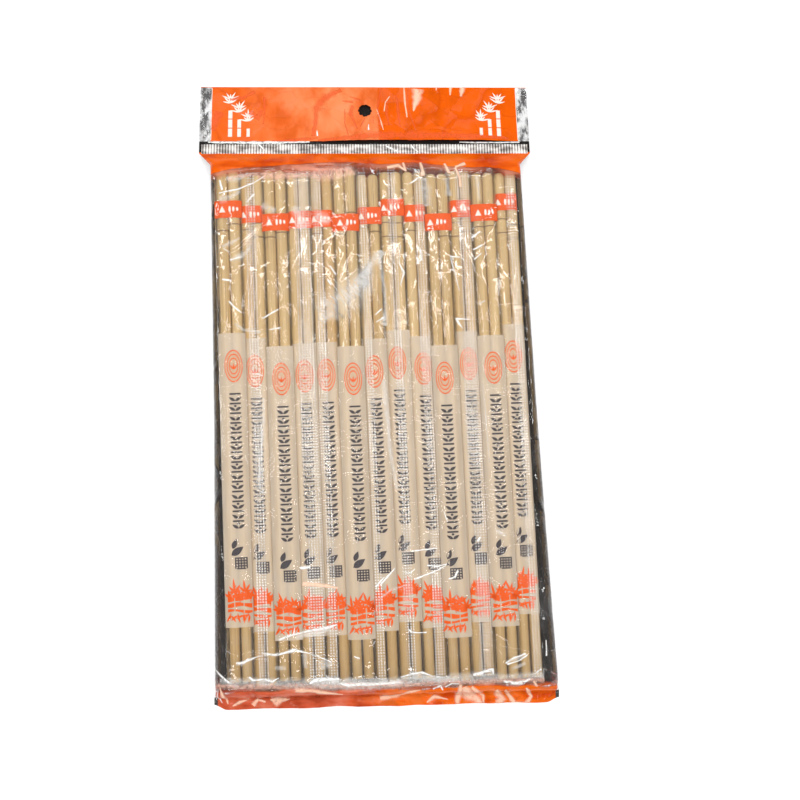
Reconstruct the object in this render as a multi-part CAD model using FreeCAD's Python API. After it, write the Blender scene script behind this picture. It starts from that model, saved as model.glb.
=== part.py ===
import FreeCAD, Part
import math
import os

# A retail pack of disposable round bamboo chopsticks. Each pair lies in its own closed film sleeve,
# the pairs lie side by side in two rows, and a film pouch with a folded header strip holds them.
# The pack lies on its back: +Z is up, +Y runs to the header, +X is to the right, and all sizes are mm.

# One chopstick
stick_length = 230.0
stick_head_d = 5.0
stick_tip_d = 4.4
head_round_length = 1.7
head_crown_d = 3.0
back_stick_sides = 10

# One film sleeve with its pair
pair_gap = 0.1
sleeve_slack = 0.1
sleeve_wall = 0.12
sleeve_end_room = 0.3
sleeve_taper_length = 2.0
sleeve_tab_length = 1.2
sleeve_tip_gap = 0.08
fin_width = 4.0
front_film_creases = 6
back_film_creases = 4

# How the pairs lie
pairs_across = 13
sleeve_gap = 0.1
row_gap = 0.1
raised_pairs = (1, 3, 6, 10, 12)
raised_by = 0.9
slide_most = 1.0
slide_step_deg = 137.5
pack_lean_deg = 1.6

# The pouch
pouch_wall = 0.2
pouch_clearance = 0.3
corner_cut = 1.6
seam_width = 0.4
wing_flat = 7.6
wing_at_heads = 2.4
wing_at_middle = 3.8
wing_at_tips = 6.4
head_drop_length = 5.0
tip_drop_length = 4.0
bottom_seal_length = 4.2

# The ribbed seal above the heads and the header strip over it
seal_length = 4.7
seal_margin = 0.4
rib_pitch = 1.3
rib_height = 0.25
rib_side_margin = 1.0
header_height = 29.0
header_wall = 0.2
hang_hole_d = 6.4
hang_hole_below_top = 13.3
header_tilt_deg = 9.0

# Sizes that follow for one pair
head_r = stick_head_d / 2
tip_r = stick_tip_d / 2
stick_offset = head_r + pair_gap / 2
inner_height = stick_head_d + 2 * sleeve_slack
inner_width = 2 * (stick_offset + head_r + sleeve_slack)
sleeve_height = inner_height + 2 * sleeve_wall
sleeve_width = inner_width + 2 * sleeve_wall
film_pair = 2 * sleeve_wall
tube_length = stick_length + 2 * sleeve_end_room
sleeve_reach = tube_length / 2 + sleeve_taper_length + sleeve_tab_length

# Heights of the two rows, from the surface that the pack lies on
pitch = sleeve_width + sleeve_gap
back_row_z = pouch_wall + pouch_clearance + film_pair + sleeve_height / 2
front_row_z = back_row_z + sleeve_height + row_gap + film_pair
contents_top = front_row_z + raised_by + sleeve_height / 2
pouch_top = contents_top + pouch_clearance + pouch_wall
neck_top = header_wall + 2 * pouch_wall
header_top = neck_top + header_wall

# Stations along the pack, first counted from the middle of the sticks
film_edge_y = sleeve_reach + slide_most + pouch_clearance + pouch_wall
full_height_y = tube_length / 2 + slide_most
seal_start_y = film_edge_y + head_drop_length
seal_end_y = seal_start_y + seal_margin + seal_length
header_low_y = seal_end_y + seal_margin
header_top_y = header_low_y + header_height
bottom_seal_y = -film_edge_y - tip_drop_length
bottom_y = bottom_seal_y - bottom_seal_length
middle_shift = -(header_top_y + bottom_y) / 2

# Widths, counted from the pack's leaning middle line
lean = math.radians(pack_lean_deg)
pitch_across = pitch / math.cos(lean)
contents_half = (pairs_across - 1) / 2 * pitch_across + sleeve_width / 2 / math.cos(lean)
pouch_half = contents_half + pouch_clearance + pouch_wall
flat_half = pouch_half + wing_flat


def place(shape, x, y, z):
    """Turns a shape made at the origin to the pack's lean and moves it, with the pack's own middle at y = 0."""
    spin = FreeCAD.Rotation(FreeCAD.Vector(0, 0, 1), pack_lean_deg)
    shape.Placement = FreeCAD.Placement(FreeCAD.Vector(x, y + middle_shift, z), spin)
    return shape


def tipped(point):
    """Where a point of the flat neck or header goes: it slopes up from its top edge to the ribbed seal."""
    edge = FreeCAD.Vector(0, header_top_y + middle_shift, 0)
    tilt = FreeCAD.Rotation(FreeCAD.Vector(1, 0, 0), -header_tilt_deg)
    return edge.add(tilt.multVec(point.sub(edge)))


def tip(shape):
    """The same turn for a whole shape."""
    edge = FreeCAD.Vector(0, header_top_y + middle_shift, 0)
    shape.rotate(edge, FreeCAD.Vector(1, 0, 0), -header_tilt_deg)
    return shape


def middle_x(y):
    """The pack has slid askew between its seals: where its middle line is at a station y."""
    between_seals = min(max(y, bottom_seal_y), seal_start_y)
    return -math.tan(lean) * (between_seals - (seal_start_y + bottom_seal_y) / 2)


def chopstick():
    """A turned stick along Y: a long taper, a flat tip and a head with its edge rounded off."""
    low = FreeCAD.Vector(0, -stick_length / 2, 0)
    high = FreeCAD.Vector(0, stick_length / 2, 0)
    tip = low.add(FreeCAD.Vector(tip_r, 0, 0))
    shoulder = high.add(FreeCAD.Vector(head_r, -head_round_length, 0))
    crown = high.add(FreeCAD.Vector(head_crown_d / 2, 0, 0))
    edges = [Part.makeLine(low, tip)]
    for start, end in ((tip, shoulder), (shoulder, crown)):
        side = Part.BezierCurve()
        side.setPoles([start, end])
        edges.append(side.toShape())
    edges.append(Part.makeLine(crown, high))
    edges.append(Part.makeLine(high, low))
    outline = Part.Face(Part.Wire(edges))
    return outline.revolve(low, FreeCAD.Vector(0, 1, 0), 360)


def round_polygon(r, y):
    """A ring with as many sides as a back row stick has, set round the true circle."""
    points = []
    for i in range(back_stick_sides):
        turn = 2 * math.pi * (i + 0.5) / back_stick_sides
        points.append(FreeCAD.Vector(r * math.cos(turn), y, r * math.sin(turn)))
    return Part.makePolygon(points + points[:1])


def back_chopstick():
    """The same stick where the front row hides it, with flat sides, because fifty round ones are too many."""
    low = -stick_length / 2
    high = stick_length / 2
    rings = [
        round_polygon(tip_r, low),
        round_polygon(head_r, high - head_round_length),
        round_polygon(head_crown_d / 2, high),
    ]
    return Part.makeLoft(rings, True, True)


def film_tube(width, height, length, creases):
    """A length of film tube round two sticks laid side by side, drawn flat over them and creased at the sides."""
    r = height / 2
    corner_r = r / math.cos(math.pi / (2 * creases))
    points = []
    for side in (1, -1):
        for i in range(creases):
            turn = math.pi * ((i + 0.5) / creases - 0.5)
            x = side * (width / 2 - r + corner_r * math.cos(turn))
            points.append(FreeCAD.Vector(x, -length / 2, side * corner_r * math.sin(turn)))
    return Part.Face(Part.makePolygon(points + points[:1])).extrude(FreeCAD.Vector(0, length, 0))


def drawn_ends(width, height, straight, taper, tab, tab_height):
    """The side view that a film tube keeps: full height over the sticks, then drawn together to a flat tab."""
    full = straight / 2
    flat = full + taper
    end = flat + tab
    steps = [(-end, tab_height), (-flat, tab_height), (-full, height), (full, height), (flat, tab_height)]
    steps.append((end, tab_height))
    under = [FreeCAD.Vector(-width, y, -tall / 2) for y, tall in steps]
    over = [FreeCAD.Vector(-width, y, tall / 2) for y, tall in reversed(steps)]
    side_view = Part.Face(Part.makePolygon(under + over + under[:1]))
    return side_view.extrude(FreeCAD.Vector(2 * width, 0, 0))


def sleeve(creases):
    """A film tube round one pair, welded flat at both ends, with its lengthways fin folded flat beneath."""
    reach = 2 * sleeve_reach
    skin = film_tube(sleeve_width, sleeve_height, reach, creases)
    ends = drawn_ends(
        sleeve_width, sleeve_height, tube_length, sleeve_taper_length, sleeve_tab_length, film_pair
    )
    hollow = film_tube(inner_width, inner_height, reach, creases)
    slope = (sleeve_height - film_pair) / sleeve_taper_length
    hollow_taper = (inner_height - sleeve_tip_gap) / slope
    hollow_ends = drawn_ends(
        inner_width, inner_height, tube_length - 2 * sleeve_wall, hollow_taper, sleeve_tip_gap, sleeve_tip_gap
    )
    fin = Part.makeBox(
        fin_width,
        tube_length,
        film_pair,
        FreeCAD.Vector(-fin_width / 2, -tube_length / 2, -sleeve_height / 2 - film_pair),
    )
    film = skin.common(ends).cut(hollow.common(hollow_ends))
    return film.fuse(fin).removeSplitter()


def slide_of(number):
    """How far a pair has slid along the pack: uneven, but the same each time."""
    return slide_most * math.sin(math.radians(slide_step_deg * number))


def lay_pair(number, row_z, lift, stick, film):
    """The left stick, the right stick and the sleeve of one pair, laid in its row."""
    across = (number - (pairs_across + 1) / 2) * pitch_across
    along = slide_of(number)
    x = across + middle_x(along)
    z = row_z + lift
    laid = []
    for side in (-1, 1):
        dx = side * stick_offset * math.cos(lean)
        dy = side * stick_offset * math.sin(lean)
        laid.append(place(stick.copy(), x + dx, along + dy, z))
    laid.append(place(film.copy(), x, along, z))
    return laid


def chamfered(corner, before, after):
    """Two points that cut a section's corner, one on each side that meets there."""
    points = []
    for other in (before, after):
        way = other.sub(corner)
        cut = min(corner_cut, way.Length / 3)
        points.append(corner.add(way.normalize().multiply(cut)))
    return points


def pouch_section(y, low, high, half, wing, inset=0.0):
    """The pouch cut across at y: flat under and over the rows, drawn out to a side seam on each side."""
    across = middle_x(y)
    bottom = low + inset
    top = high - inset
    seam = half + wing - 1.5 * inset
    flat = half - 0.5 * inset
    mid = (bottom + top) / 2
    ring = [
        FreeCAD.Vector(across - flat, y + middle_shift, bottom),
        FreeCAD.Vector(across + flat, y + middle_shift, bottom),
        FreeCAD.Vector(across + seam, y + middle_shift, mid),
        FreeCAD.Vector(across + flat, y + middle_shift, top),
        FreeCAD.Vector(across - flat, y + middle_shift, top),
        FreeCAD.Vector(across - seam, y + middle_shift, mid),
    ]
    points = []
    for i, corner in enumerate(ring):
        if i in (2, 5):
            points.append(corner)
        else:
            points.extend(chamfered(corner, ring[i - 1], ring[(i + 1) % len(ring)]))
    return points


def flat_faces(corners):
    """One flat face on four corners that lie in a plane, else two that meet on a crease between them."""
    a, b, c, d = corners
    normal = b.sub(a).cross(c.sub(a))
    if abs(d.sub(a).dot(normal)) < 1e-7 * max(normal.Length, 1.0):
        return [Part.Face(Part.makePolygon([a, b, c, d, a]))]
    return [Part.Face(Part.makePolygon([a, b, c, a])), Part.Face(Part.makePolygon([a, c, d, a]))]


def film_form(sections):
    """The closed form through cross sections with as many corners each, with flat facets as film creases."""
    faces = []
    for near, far in zip(sections, sections[1:]):
        for i in range(len(near)):
            faces += flat_faces([near[i - 1], near[i], far[i], far[i - 1]])
    for points in (sections[0], sections[-1]):
        faces.append(Part.Face(Part.makePolygon(points + points[:1])))
    form = Part.Solid(Part.makeShell(faces))
    form.fix(1e-6, 1e-6, 1e-6)
    return form if form.Volume > 0 else form.reversed()


def pouch():
    """The pouch: a hollow pillow over the rows, a flat seal at the foot and a flat neck under the header."""
    neck_low = header_wall
    neck_end_y = header_top_y - header_top / 2
    welded_half = flat_half - seam_width
    end_top = front_row_z + raised_by + film_pair / 2 + pouch_clearance + pouch_wall
    neck = [
        pouch_section(neck_end_y, neck_low, neck_top, welded_half, seam_width),
        pouch_section(seal_start_y, neck_low, neck_top, welded_half, seam_width),
    ]
    outside = [[tipped(point) for point in ring] for ring in neck] + [
        pouch_section(film_edge_y, 0, end_top, pouch_half, wing_at_heads),
        pouch_section(full_height_y, 0, pouch_top, pouch_half, wing_at_heads),
        pouch_section(0, 0, pouch_top, pouch_half, wing_at_middle),
        pouch_section(-full_height_y, 0, pouch_top, pouch_half, wing_at_tips),
        pouch_section(-film_edge_y, 0, end_top, pouch_half, wing_at_tips),
        pouch_section(bottom_seal_y, 0, 2 * pouch_wall, welded_half, seam_width),
        pouch_section(bottom_y, 0, 2 * pouch_wall, welded_half, seam_width),
    ]
    inside = [
        pouch_section(film_edge_y - pouch_wall, 0, end_top, pouch_half, wing_at_heads, pouch_wall),
        pouch_section(full_height_y, 0, pouch_top, pouch_half, wing_at_heads, pouch_wall),
        pouch_section(0, 0, pouch_top, pouch_half, wing_at_middle, pouch_wall),
        pouch_section(-full_height_y, 0, pouch_top, pouch_half, wing_at_tips, pouch_wall),
        pouch_section(-film_edge_y + pouch_wall, 0, end_top, pouch_half, wing_at_tips, pouch_wall),
    ]
    film = film_form(outside).cut(film_form(inside))
    return film.fuse(tip(ribbed_seal())).cut(tip(hang_hole())).removeSplitter()


def ribbed_seal():
    """The welded strip above the heads: fine ribs side by side right across the neck."""
    base = neck_top - pouch_wall
    ribs = int(2 * (flat_half - rib_side_margin) / rib_pitch)
    left = middle_x(seal_start_y) - ribs * rib_pitch / 2
    y = seal_start_y + seal_margin + middle_shift
    zigzag = [FreeCAD.Vector(left, y, base), FreeCAD.Vector(left, y, neck_top)]
    for i in range(ribs):
        zigzag.append(FreeCAD.Vector(left + (i + 0.5) * rib_pitch, y, neck_top + rib_height))
        zigzag.append(FreeCAD.Vector(left + (i + 1) * rib_pitch, y, neck_top))
    zigzag.append(FreeCAD.Vector(left + ribs * rib_pitch, y, base))
    face = Part.Face(Part.makePolygon(zigzag + zigzag[:1]))
    return face.extrude(FreeCAD.Vector(0, seal_length, 0))


def hang_hole():
    """The punch for the round hang hole, through the header's two leaves and the neck between them."""
    y = header_top_y - hang_hole_below_top + middle_shift
    low = FreeCAD.Vector(middle_x(header_top_y), y, -header_top)
    return Part.makeCylinder(hang_hole_d / 2, 3 * header_top, low)


def half_turn(y, r, z):
    """Half a circle in the side view, from below its centre round the far side to above it."""
    below = FreeCAD.Vector(0, y, z - r)
    beyond = FreeCAD.Vector(0, y + r, z)
    above = FreeCAD.Vector(0, y, z + r)
    return Part.Arc(below, beyond, above).toShape()


def leaf(low_y, fold_y, low, high, up):
    """Three sides of one leaf in the side view, from the fold down to its free edge and back."""
    near, far = (high, low) if up else (low, high)
    corners = [(fold_y, near), (low_y, near), (low_y, far), (fold_y, far)]
    return Part.makePolygon([FreeCAD.Vector(0, y, z) for y, z in corners]).Edges


def header():
    """The header strip: one film folded over the pouch's top edge, a leaf behind and a leaf in front."""
    mid = header_top / 2
    low_y = header_low_y + middle_shift
    fold_y = header_top_y - mid + middle_shift
    edges = [half_turn(fold_y, mid, mid)]
    edges += leaf(low_y, fold_y, neck_top, header_top, True)
    edges += [half_turn(fold_y, mid - header_wall, mid)]
    edges += leaf(low_y, fold_y, 0, header_wall, False)
    profile = Part.Face(Part.Wire(Part.sortEdges(edges)[0]))
    profile.translate(FreeCAD.Vector(middle_x(header_top_y) - flat_half, 0, 0))
    return tip(profile.extrude(FreeCAD.Vector(2 * flat_half, 0, 0)).cut(hang_hole()))


def write(name, shapes):
    """One STEP file per node, with its solids kept separate."""
    body = shapes[0] if len(shapes) == 1 else Part.makeCompound(shapes)
    body.exportStep("parts/" + name + ".step")


os.makedirs("parts", exist_ok=True)

front_stick = chopstick()
front_film = sleeve(front_film_creases)
back_stick = back_chopstick()
back_film = sleeve(back_film_creases)
back_sticks = []
back_sleeves = []
for number in range(1, pairs_across + 1):
    lift = raised_by if number in raised_pairs else 0.0
    left_stick, right_stick, film = lay_pair(number, front_row_z, lift, front_stick, front_film)
    name = "pair_" + str(number).zfill(2)
    write(name + "_left_chopstick", [left_stick])
    write(name + "_right_chopstick", [right_stick])
    write(name + "_sleeve", [film])
    left_stick, right_stick, film = lay_pair(number, back_row_z, 0.0, back_stick, back_film)
    back_sticks.extend([left_stick, right_stick])
    back_sleeves.append(film)

write("back_row_chopsticks", back_sticks)
write("back_row_sleeves", back_sleeves)
write("pouch", [pouch()])
write("header_strip", [header()])

hole_y = header_top_y - hang_hole_below_top + middle_shift
hole = tipped(FreeCAD.Vector(middle_x(header_top_y), hole_y, header_top / 2))
print("hang hole at", [round(v, 3) for v in hole], "through", round(header_top, 2))
print("pitch", round(pitch, 2), "contents half width", round(contents_half, 2))
print("pack length", round(header_top_y - bottom_y, 1), "thickness", round(pouch_top, 2))
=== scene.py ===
# %% [markdown]
# # A pack of wrapped bamboo chopsticks
#
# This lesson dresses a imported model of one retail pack: twenty-six pairs of round bamboo chopsticks,
# each pair in its own clear film sleeve, all of them in a flat film pouch with a folded header strip.
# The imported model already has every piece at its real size, so the first step only loads it.
# Everything made later takes its place from that model and from a few sizes that are named here.

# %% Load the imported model
import math

import bpy
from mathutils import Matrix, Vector, noise


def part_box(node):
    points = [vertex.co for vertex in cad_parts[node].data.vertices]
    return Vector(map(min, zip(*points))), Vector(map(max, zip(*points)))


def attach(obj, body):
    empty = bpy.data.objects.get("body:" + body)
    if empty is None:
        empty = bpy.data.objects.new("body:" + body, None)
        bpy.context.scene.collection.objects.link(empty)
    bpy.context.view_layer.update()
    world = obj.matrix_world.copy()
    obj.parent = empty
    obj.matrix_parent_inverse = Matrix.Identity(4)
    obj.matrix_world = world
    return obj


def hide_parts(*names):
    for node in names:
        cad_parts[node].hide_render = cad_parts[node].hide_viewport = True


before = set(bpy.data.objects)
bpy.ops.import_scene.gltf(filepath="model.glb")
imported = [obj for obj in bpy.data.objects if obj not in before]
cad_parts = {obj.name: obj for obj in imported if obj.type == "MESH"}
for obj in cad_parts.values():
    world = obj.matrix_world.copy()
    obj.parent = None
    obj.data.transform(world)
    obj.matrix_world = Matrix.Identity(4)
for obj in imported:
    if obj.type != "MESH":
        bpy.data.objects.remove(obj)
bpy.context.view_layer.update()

print("pieces in the packed model:", len(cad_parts))

# %% [markdown]
# ## Sizes that the whole lesson uses
#
# Blender works in metres here and the pack is measured in millimetres, so one named factor joins them.
# The pairs lie askew between the pack's two seals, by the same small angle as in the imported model.

# %% Sizes and the lean of the pack
MM = 0.001
pairs_across = 13
raised_pairs = (1, 3, 6, 10, 12)
lean = math.radians(1.6)
root = "root"
pair_names = ["pair_" + str(number).zfill(2) for number in range(1, pairs_across + 1)]
print("front row:", pair_names[0], "to", pair_names[-1])

# %% Where a pair lies, and how its own directions turn into the pack's
def pair_place(name):
    """The middle of a pair, at the height of its two sticks' axes."""
    low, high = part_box(name + "_sleeve")
    stick_low, stick_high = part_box(name + "_left_chopstick")
    return Vector(((low.x + high.x) / 2, (low.y + high.y) / 2, (stick_low.z + stick_high.z) / 2))


def laid(place, across, along, up):
    """A point given across a pair, along it towards the heads and up from its middle."""
    x = place.x + across * math.cos(lean) - along * math.sin(lean)
    y = place.y + across * math.sin(lean) + along * math.cos(lean)
    return (x, y, place.z + up)


places = [pair_place(name) for name in pair_names]
print("first pair's middle in mm:", [round(v / MM, 2) for v in places[0]])

# %% [markdown]
# ## One kind of mesh for everything
#
# Sticks are turned, and films are skins, so every shape in the pack can be made as a grid of points:
# rows along the piece and columns across or around it. One small class collects such grids.
# It also keeps two flat coordinates for each corner, across and along in metres, so that fibres,
# ribs and dots in the materials keep their real size and follow the piece wherever it lies.

# %% A skin that collects grids of points
class Skin:
    """The points, faces, finishes and flat coordinates of one piece."""

    def __init__(self):
        self.points = []
        self.faces = []
        self.finishes = []
        self.flat = []

    def grid(self, rows, flat, finish=0, around=False):
        """Quads between rows of points. finish is one number, or one for each strip between two rows."""
        first = len(self.points)
        columns = len(rows[0])
        for row in rows:
            self.points.extend(row)
        across = columns if around else columns - 1
        for i in range(len(rows) - 1):
            strip_finish = finish if isinstance(finish, int) else finish[i]
            for j in range(across):
                near = first + i * columns + j
                next_near = first + i * columns + (j + 1) % columns
                self.faces.append((near, next_near, next_near + columns, near + columns))
                self.flat.extend((flat[i][j], flat[i][j + 1], flat[i + 1][j + 1], flat[i + 1][j]))
                self.finishes.append(strip_finish)

    def cap(self, first, count, flat, turned=False):
        """One flat face, in the first finish, on a ring of points that are already there."""
        ring = list(range(first, first + count))
        self.faces.append(tuple(reversed(ring)) if turned else tuple(ring))
        self.flat.extend([flat] * count)
        self.finishes.append(0)

    def piece(self, name, materials):
        """The finished object, which rides on the pack's one body."""
        mesh = bpy.data.meshes.new(name)
        mesh.from_pydata(self.points, [], self.faces)
        for material in materials:
            mesh.materials.append(material)
        mesh.polygons.foreach_set("material_index", self.finishes)
        mesh.polygons.foreach_set("use_smooth", [True] * len(self.faces))
        layer = mesh.uv_layers.new(name="flat")
        layer.data.foreach_set("uv", [value for pair in self.flat for value in pair])
        mesh.update()
        made = bpy.data.objects.new(name, mesh)
        bpy.context.scene.collection.objects.link(made)
        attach(made, root)
        return made


def spread(start, end, count):
    """Evenly spaced values from start to end, both included."""
    return [start + (end - start) * i / (count - 1) for i in range(count)]


def smooth(value, start, end):
    """0 before start, 1 after end and an even ease between them."""
    share = min(max((value - start) / (end - start), 0.0), 1.0)
    return share * share * (3 - 2 * share)


print("grid helper ready")

# %% [markdown]
# ## Building materials from nodes
#
# Every finish here is procedural. A short helper adds a node, sets what is constant on its own
# sockets and returns it, so that a material reads as a list of what the surface is made of.

# %% Node helpers
def new_material(name):
    """An empty node material and its tree."""
    material = bpy.data.materials.new(name)
    material.use_nodes = True
    material.node_tree.nodes.clear()
    return material, material.node_tree


def add(tree, kind, links=None, values=None, **settings):
    """Adds a node. links joins its inputs to outputs of other nodes, values sets constants on inputs."""
    made = tree.nodes.new(kind)
    for key, value in settings.items():
        setattr(made, key, value)
    for key, value in (values or {}).items():
        made.inputs[key].default_value = value
    for key, source in (links or {}).items():
        tree.links.new(source, made.inputs[key])
    return made


def feed(tree, socket, value):
    """Sets an input to a number or a colour, or joins it to another node's output."""
    if isinstance(value, tuple):
        socket.default_value = (*value, 1.0)
    elif isinstance(value, (int, float)):
        socket.default_value = value
    else:
        tree.links.new(value, socket)


def maths(tree, operation, *terms):
    """One arithmetic node on numbers or outputs, and its result."""
    made = tree.nodes.new("ShaderNodeMath")
    made.operation = operation
    for socket, term in zip(made.inputs, terms):
        feed(tree, socket, term)
    return made.outputs[0]


def ramp_value(tree, factor, start, end, span, base=0.0):
    """base before start, base + span after end, and an even change between them."""
    made = add(
        tree,
        "ShaderNodeMapRange",
        {"Value": factor},
        {"From Min": start, "From Max": end, "To Min": base, "To Max": base + span},
    )
    return made.outputs["Result"]


print("node helpers ready")


# %% More node helpers: places, noises, colours and bumps
def flat_coordinates(tree):
    """The flat coordinates of the skin, across and along, in metres."""
    source = add(tree, "ShaderNodeUVMap", uv_map="flat")
    parts = add(tree, "ShaderNodeSeparateXYZ", {"Vector": source.outputs["UV"]})
    return source.outputs["UV"], parts.outputs["X"], parts.outputs["Y"]


def stretched_noise(tree, vector, scale, detail=2.0, roughness=0.5):
    """Noise that is scaled by its own amount in each direction, per metre."""
    mapped = add(tree, "ShaderNodeMapping", {"Vector": vector}, {"Scale": scale})
    made = add(
        tree,
        "ShaderNodeTexNoise",
        {"Vector": mapped.outputs[0]},
        {"Scale": 1.0, "Detail": detail, "Roughness": roughness},
    )
    return made.outputs["Fac"]


def ramp(tree, factor, stops):
    """A colour ramp with the given (position, colour) stops."""
    made = add(tree, "ShaderNodeValToRGB", {"Fac": factor})
    band = made.color_ramp
    while len(band.elements) < len(stops):
        band.elements.new(0.5)
    for element, (position, colour) in zip(band.elements, stops):
        element.position = position
        element.color = (*colour, 1.0)
    return made.outputs["Color"]


def blend_colours(tree, factor, under, over):
    """Two colours mixed by a factor that varies over the surface."""
    made = add(tree, "ShaderNodeMix", data_type="RGBA")
    for index, value in ((0, factor), (6, under), (7, over)):
        feed(tree, made.inputs[index], value)
    return made.outputs[2]


def bumped(tree, height, depth, under=None):
    """A surface direction roughened by a height that varies over the surface, depth in metres."""
    links = {"Height": height}
    if under is not None:
        links["Normal"] = under
    made = add(tree, "ShaderNodeBump", links, {"Strength": 1.0, "Distance": depth})
    return made.outputs["Normal"]


def coated(tree, colour, direction, roughness, specular):
    """An opaque surface with a weak gloss on top, as ink and wood have."""
    made = add(tree, "ShaderNodeBsdfPrincipled", {"Normal": direction}, {"Specular IOR Level": specular})
    feed(tree, made.inputs["Base Color"], colour)
    feed(tree, made.inputs["Roughness"], roughness)
    return made.outputs[0]


def finish_with(tree, shader):
    """Joins the last shader to the material's output."""
    add(tree, "ShaderNodeOutputMaterial", {"Surface": shader})


print("colour and bump helpers ready")

# %% [markdown]
# ## Bamboo
#
# A round bamboo chopstick is turned from a split of the stalk. Its wood is pale straw, with fine
# darker fibres that run its whole length, and each stick comes out a slightly different tone.
# Near the head two rings are cut and scorched. A noise squeezed across the stick and stretched along
# it draws fibres. Each stick starts at its own place in that noise, so no two look the same.

# %% Bamboo colours and sizes
groove_places = (22.0 * MM, 28.5 * MM)
groove_half = 0.32 * MM
straw_light = (0.69, 0.495, 0.245)
straw_middle = (0.53, 0.35, 0.145)
straw_dark = (0.30, 0.165, 0.055)
straw_tan = (0.59, 0.36, 0.14)
straw_tip = (0.39, 0.24, 0.087)
scorched = (0.12, 0.05, 0.02)
scorched_width = 0.8
scorched_share = 0.8
fibre_depth = 0.06 * MM


def bamboo_material():
    """Turned bamboo: fibres, a tone of its own for each stick, and two scorched rings."""
    material, tree = new_material("bamboo")
    flat, _, along = flat_coordinates(tree)
    fibres = stretched_noise(tree, flat, (46.0, 22.0, 1.0), 3.0, 0.6)
    streaks = stretched_noise(tree, flat, (9.0, 7.0, 1.0), 2.0)
    tone = stretched_noise(tree, flat, (0.31, 0.9, 1.0), 0.0)
    wood = ramp(tree, fibres, [(0.32, straw_dark), (0.45, straw_middle), (0.60, straw_light)])
    streaked = blend_colours(tree, ramp_value(tree, streaks, 0.45, 0.75, 0.35), wood, straw_middle)
    toned = blend_colours(tree, ramp_value(tree, tone, 0.45, 0.65, 0.6), streaked, straw_light)
    toned = blend_colours(tree, ramp_value(tree, tone, 0.34, 0.46, -0.55, 0.55), toned, straw_tan)
    aged = blend_colours(tree, ramp_value(tree, along, 0.10, 0.225, 0.55), toned, straw_tip)
    half = groove_half * scorched_width
    rings = [maths(tree, "COMPARE", along, place, half) for place in groove_places]
    at_ring = maths(tree, "MULTIPLY", maths(tree, "MAXIMUM", *rings), scorched_share)
    colour = blend_colours(tree, at_ring, aged, scorched)
    roughness = ramp_value(tree, fibres, 0.3, 0.7, 0.2, 0.38)
    finish_with(tree, coated(tree, colour, bumped(tree, fibres, fibre_depth), roughness, 0.4))
    return material


bamboo = bamboo_material()
print("bamboo has", len(bamboo.node_tree.nodes), "nodes")

# %% [markdown]
# ## The chopsticks
#
# Each stick is a turned shape: a rounded dome at the head, two shallow rings, a long taper and a
# tip sawn off square with its edge just broken. It could be a cylinder with modifiers, but a turned
# profile says all of that in one short list. Small bumps in its radius keep it from looking moulded.

# %% The turned profile
stick_length = 230.0 * MM
head_r = 2.5 * MM
tip_r = 2.2 * MM
dome_length = 2.1 * MM
groove_depth = 0.16 * MM
tip_edge = 0.25 * MM
stick_offset = 2.55 * MM
stick_sides = 26
grain_step = 3.7
unevenness = 0.008


def stick_r(distance):
    """The taper: the radius at a distance from the head end."""
    return head_r + (tip_r - head_r) * distance / stick_length


def ring_shift(number):
    """How far down its rings sit on a stick, which differs from stick to stick."""
    return 3.2 * MM * math.sin(5.1 * number)


def stick_profile(shift):
    """Distances from the head end with radii, from the crown of the dome to the tip's edge."""
    stations = []
    for turn in spread(0.06, 1.0, 7):
        angle = turn * math.pi / 2
        stations.append((dome_length * (1 - math.cos(angle)), stick_r(dome_length) * math.sin(angle)))
    for place in groove_places:
        for side, depth in ((-1.0, 0.0), (-0.45, groove_depth), (0.45, groove_depth), (1.0, 0.0)):
            distance = place + shift + side * groove_half
            stations.append((distance, stick_r(distance) - depth))
    for distance in spread(9 * MM, 16 * MM, 2) + spread(40 * MM, stick_length - tip_edge, 17):
        stations.append((distance, stick_r(distance)))
    stations.sort()
    stations.append((stick_length, stick_r(stick_length) - tip_edge))
    return stations


print("stations along a stick:", len(stick_profile(0.0)))


# %% One stick as a skin
def turn_stick(skin, place, offset, number):
    """Adds one chopstick at its offset across a pair. number gives it its own place in the grain."""
    rows = []
    flat = []
    shift = ring_shift(number)
    for distance, r in stick_profile(shift):
        row = []
        for side in range(stick_sides):
            angle = 2 * math.pi * side / stick_sides
            seed = Vector((3 * math.cos(angle), 60 * distance, 7.3 * number))
            uneven = 1 + unevenness * noise.noise(seed)
            across = offset + r * uneven * math.sin(angle)
            row.append(laid(place, across, stick_length / 2 - distance, -r * uneven * math.cos(angle)))
        rows.append(row)
        grain = [side / stick_sides + grain_step * number for side in range(stick_sides + 1)]
        flat.append([(turned, distance - shift) for turned in grain])
    first = len(skin.points)
    skin.grid(rows, flat, around=True)
    last = len(skin.points) - stick_sides
    skin.cap(first, stick_sides, (grain_step * number, 0.0), turned=True)
    skin.cap(last, stick_sides, (grain_step * number + 0.4, stick_length))


for index, name in enumerate(pair_names):
    for side, offset in (("_left", -stick_offset), ("_right", stick_offset)):
        skin = Skin()
        turn_stick(skin, places[index], offset, 2 * index + (offset > 0))
        stick = skin.piece(name + side + "_stick", [bamboo])
        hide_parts(name + side + "_chopstick")
print("front row sticks:", 2 * len(pair_names))

# %% The back row, which shows between the front sticks and from below
back_low, back_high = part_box("back_row_chopsticks")
back_places = [Vector((place.x, place.y, (back_low.z + back_high.z) / 2)) for place in places]
skin = Skin()
for index, place in enumerate(back_places):
    for offset in (-stick_offset, stick_offset):
        turn_stick(skin, place, offset, 2 * (index + pairs_across) + (offset > 0))
back_sticks = skin.piece("back_row_sticks", [bamboo])
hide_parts("back_row_chopsticks")
print("back row faces:", len(back_sticks.data.polygons))

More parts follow.
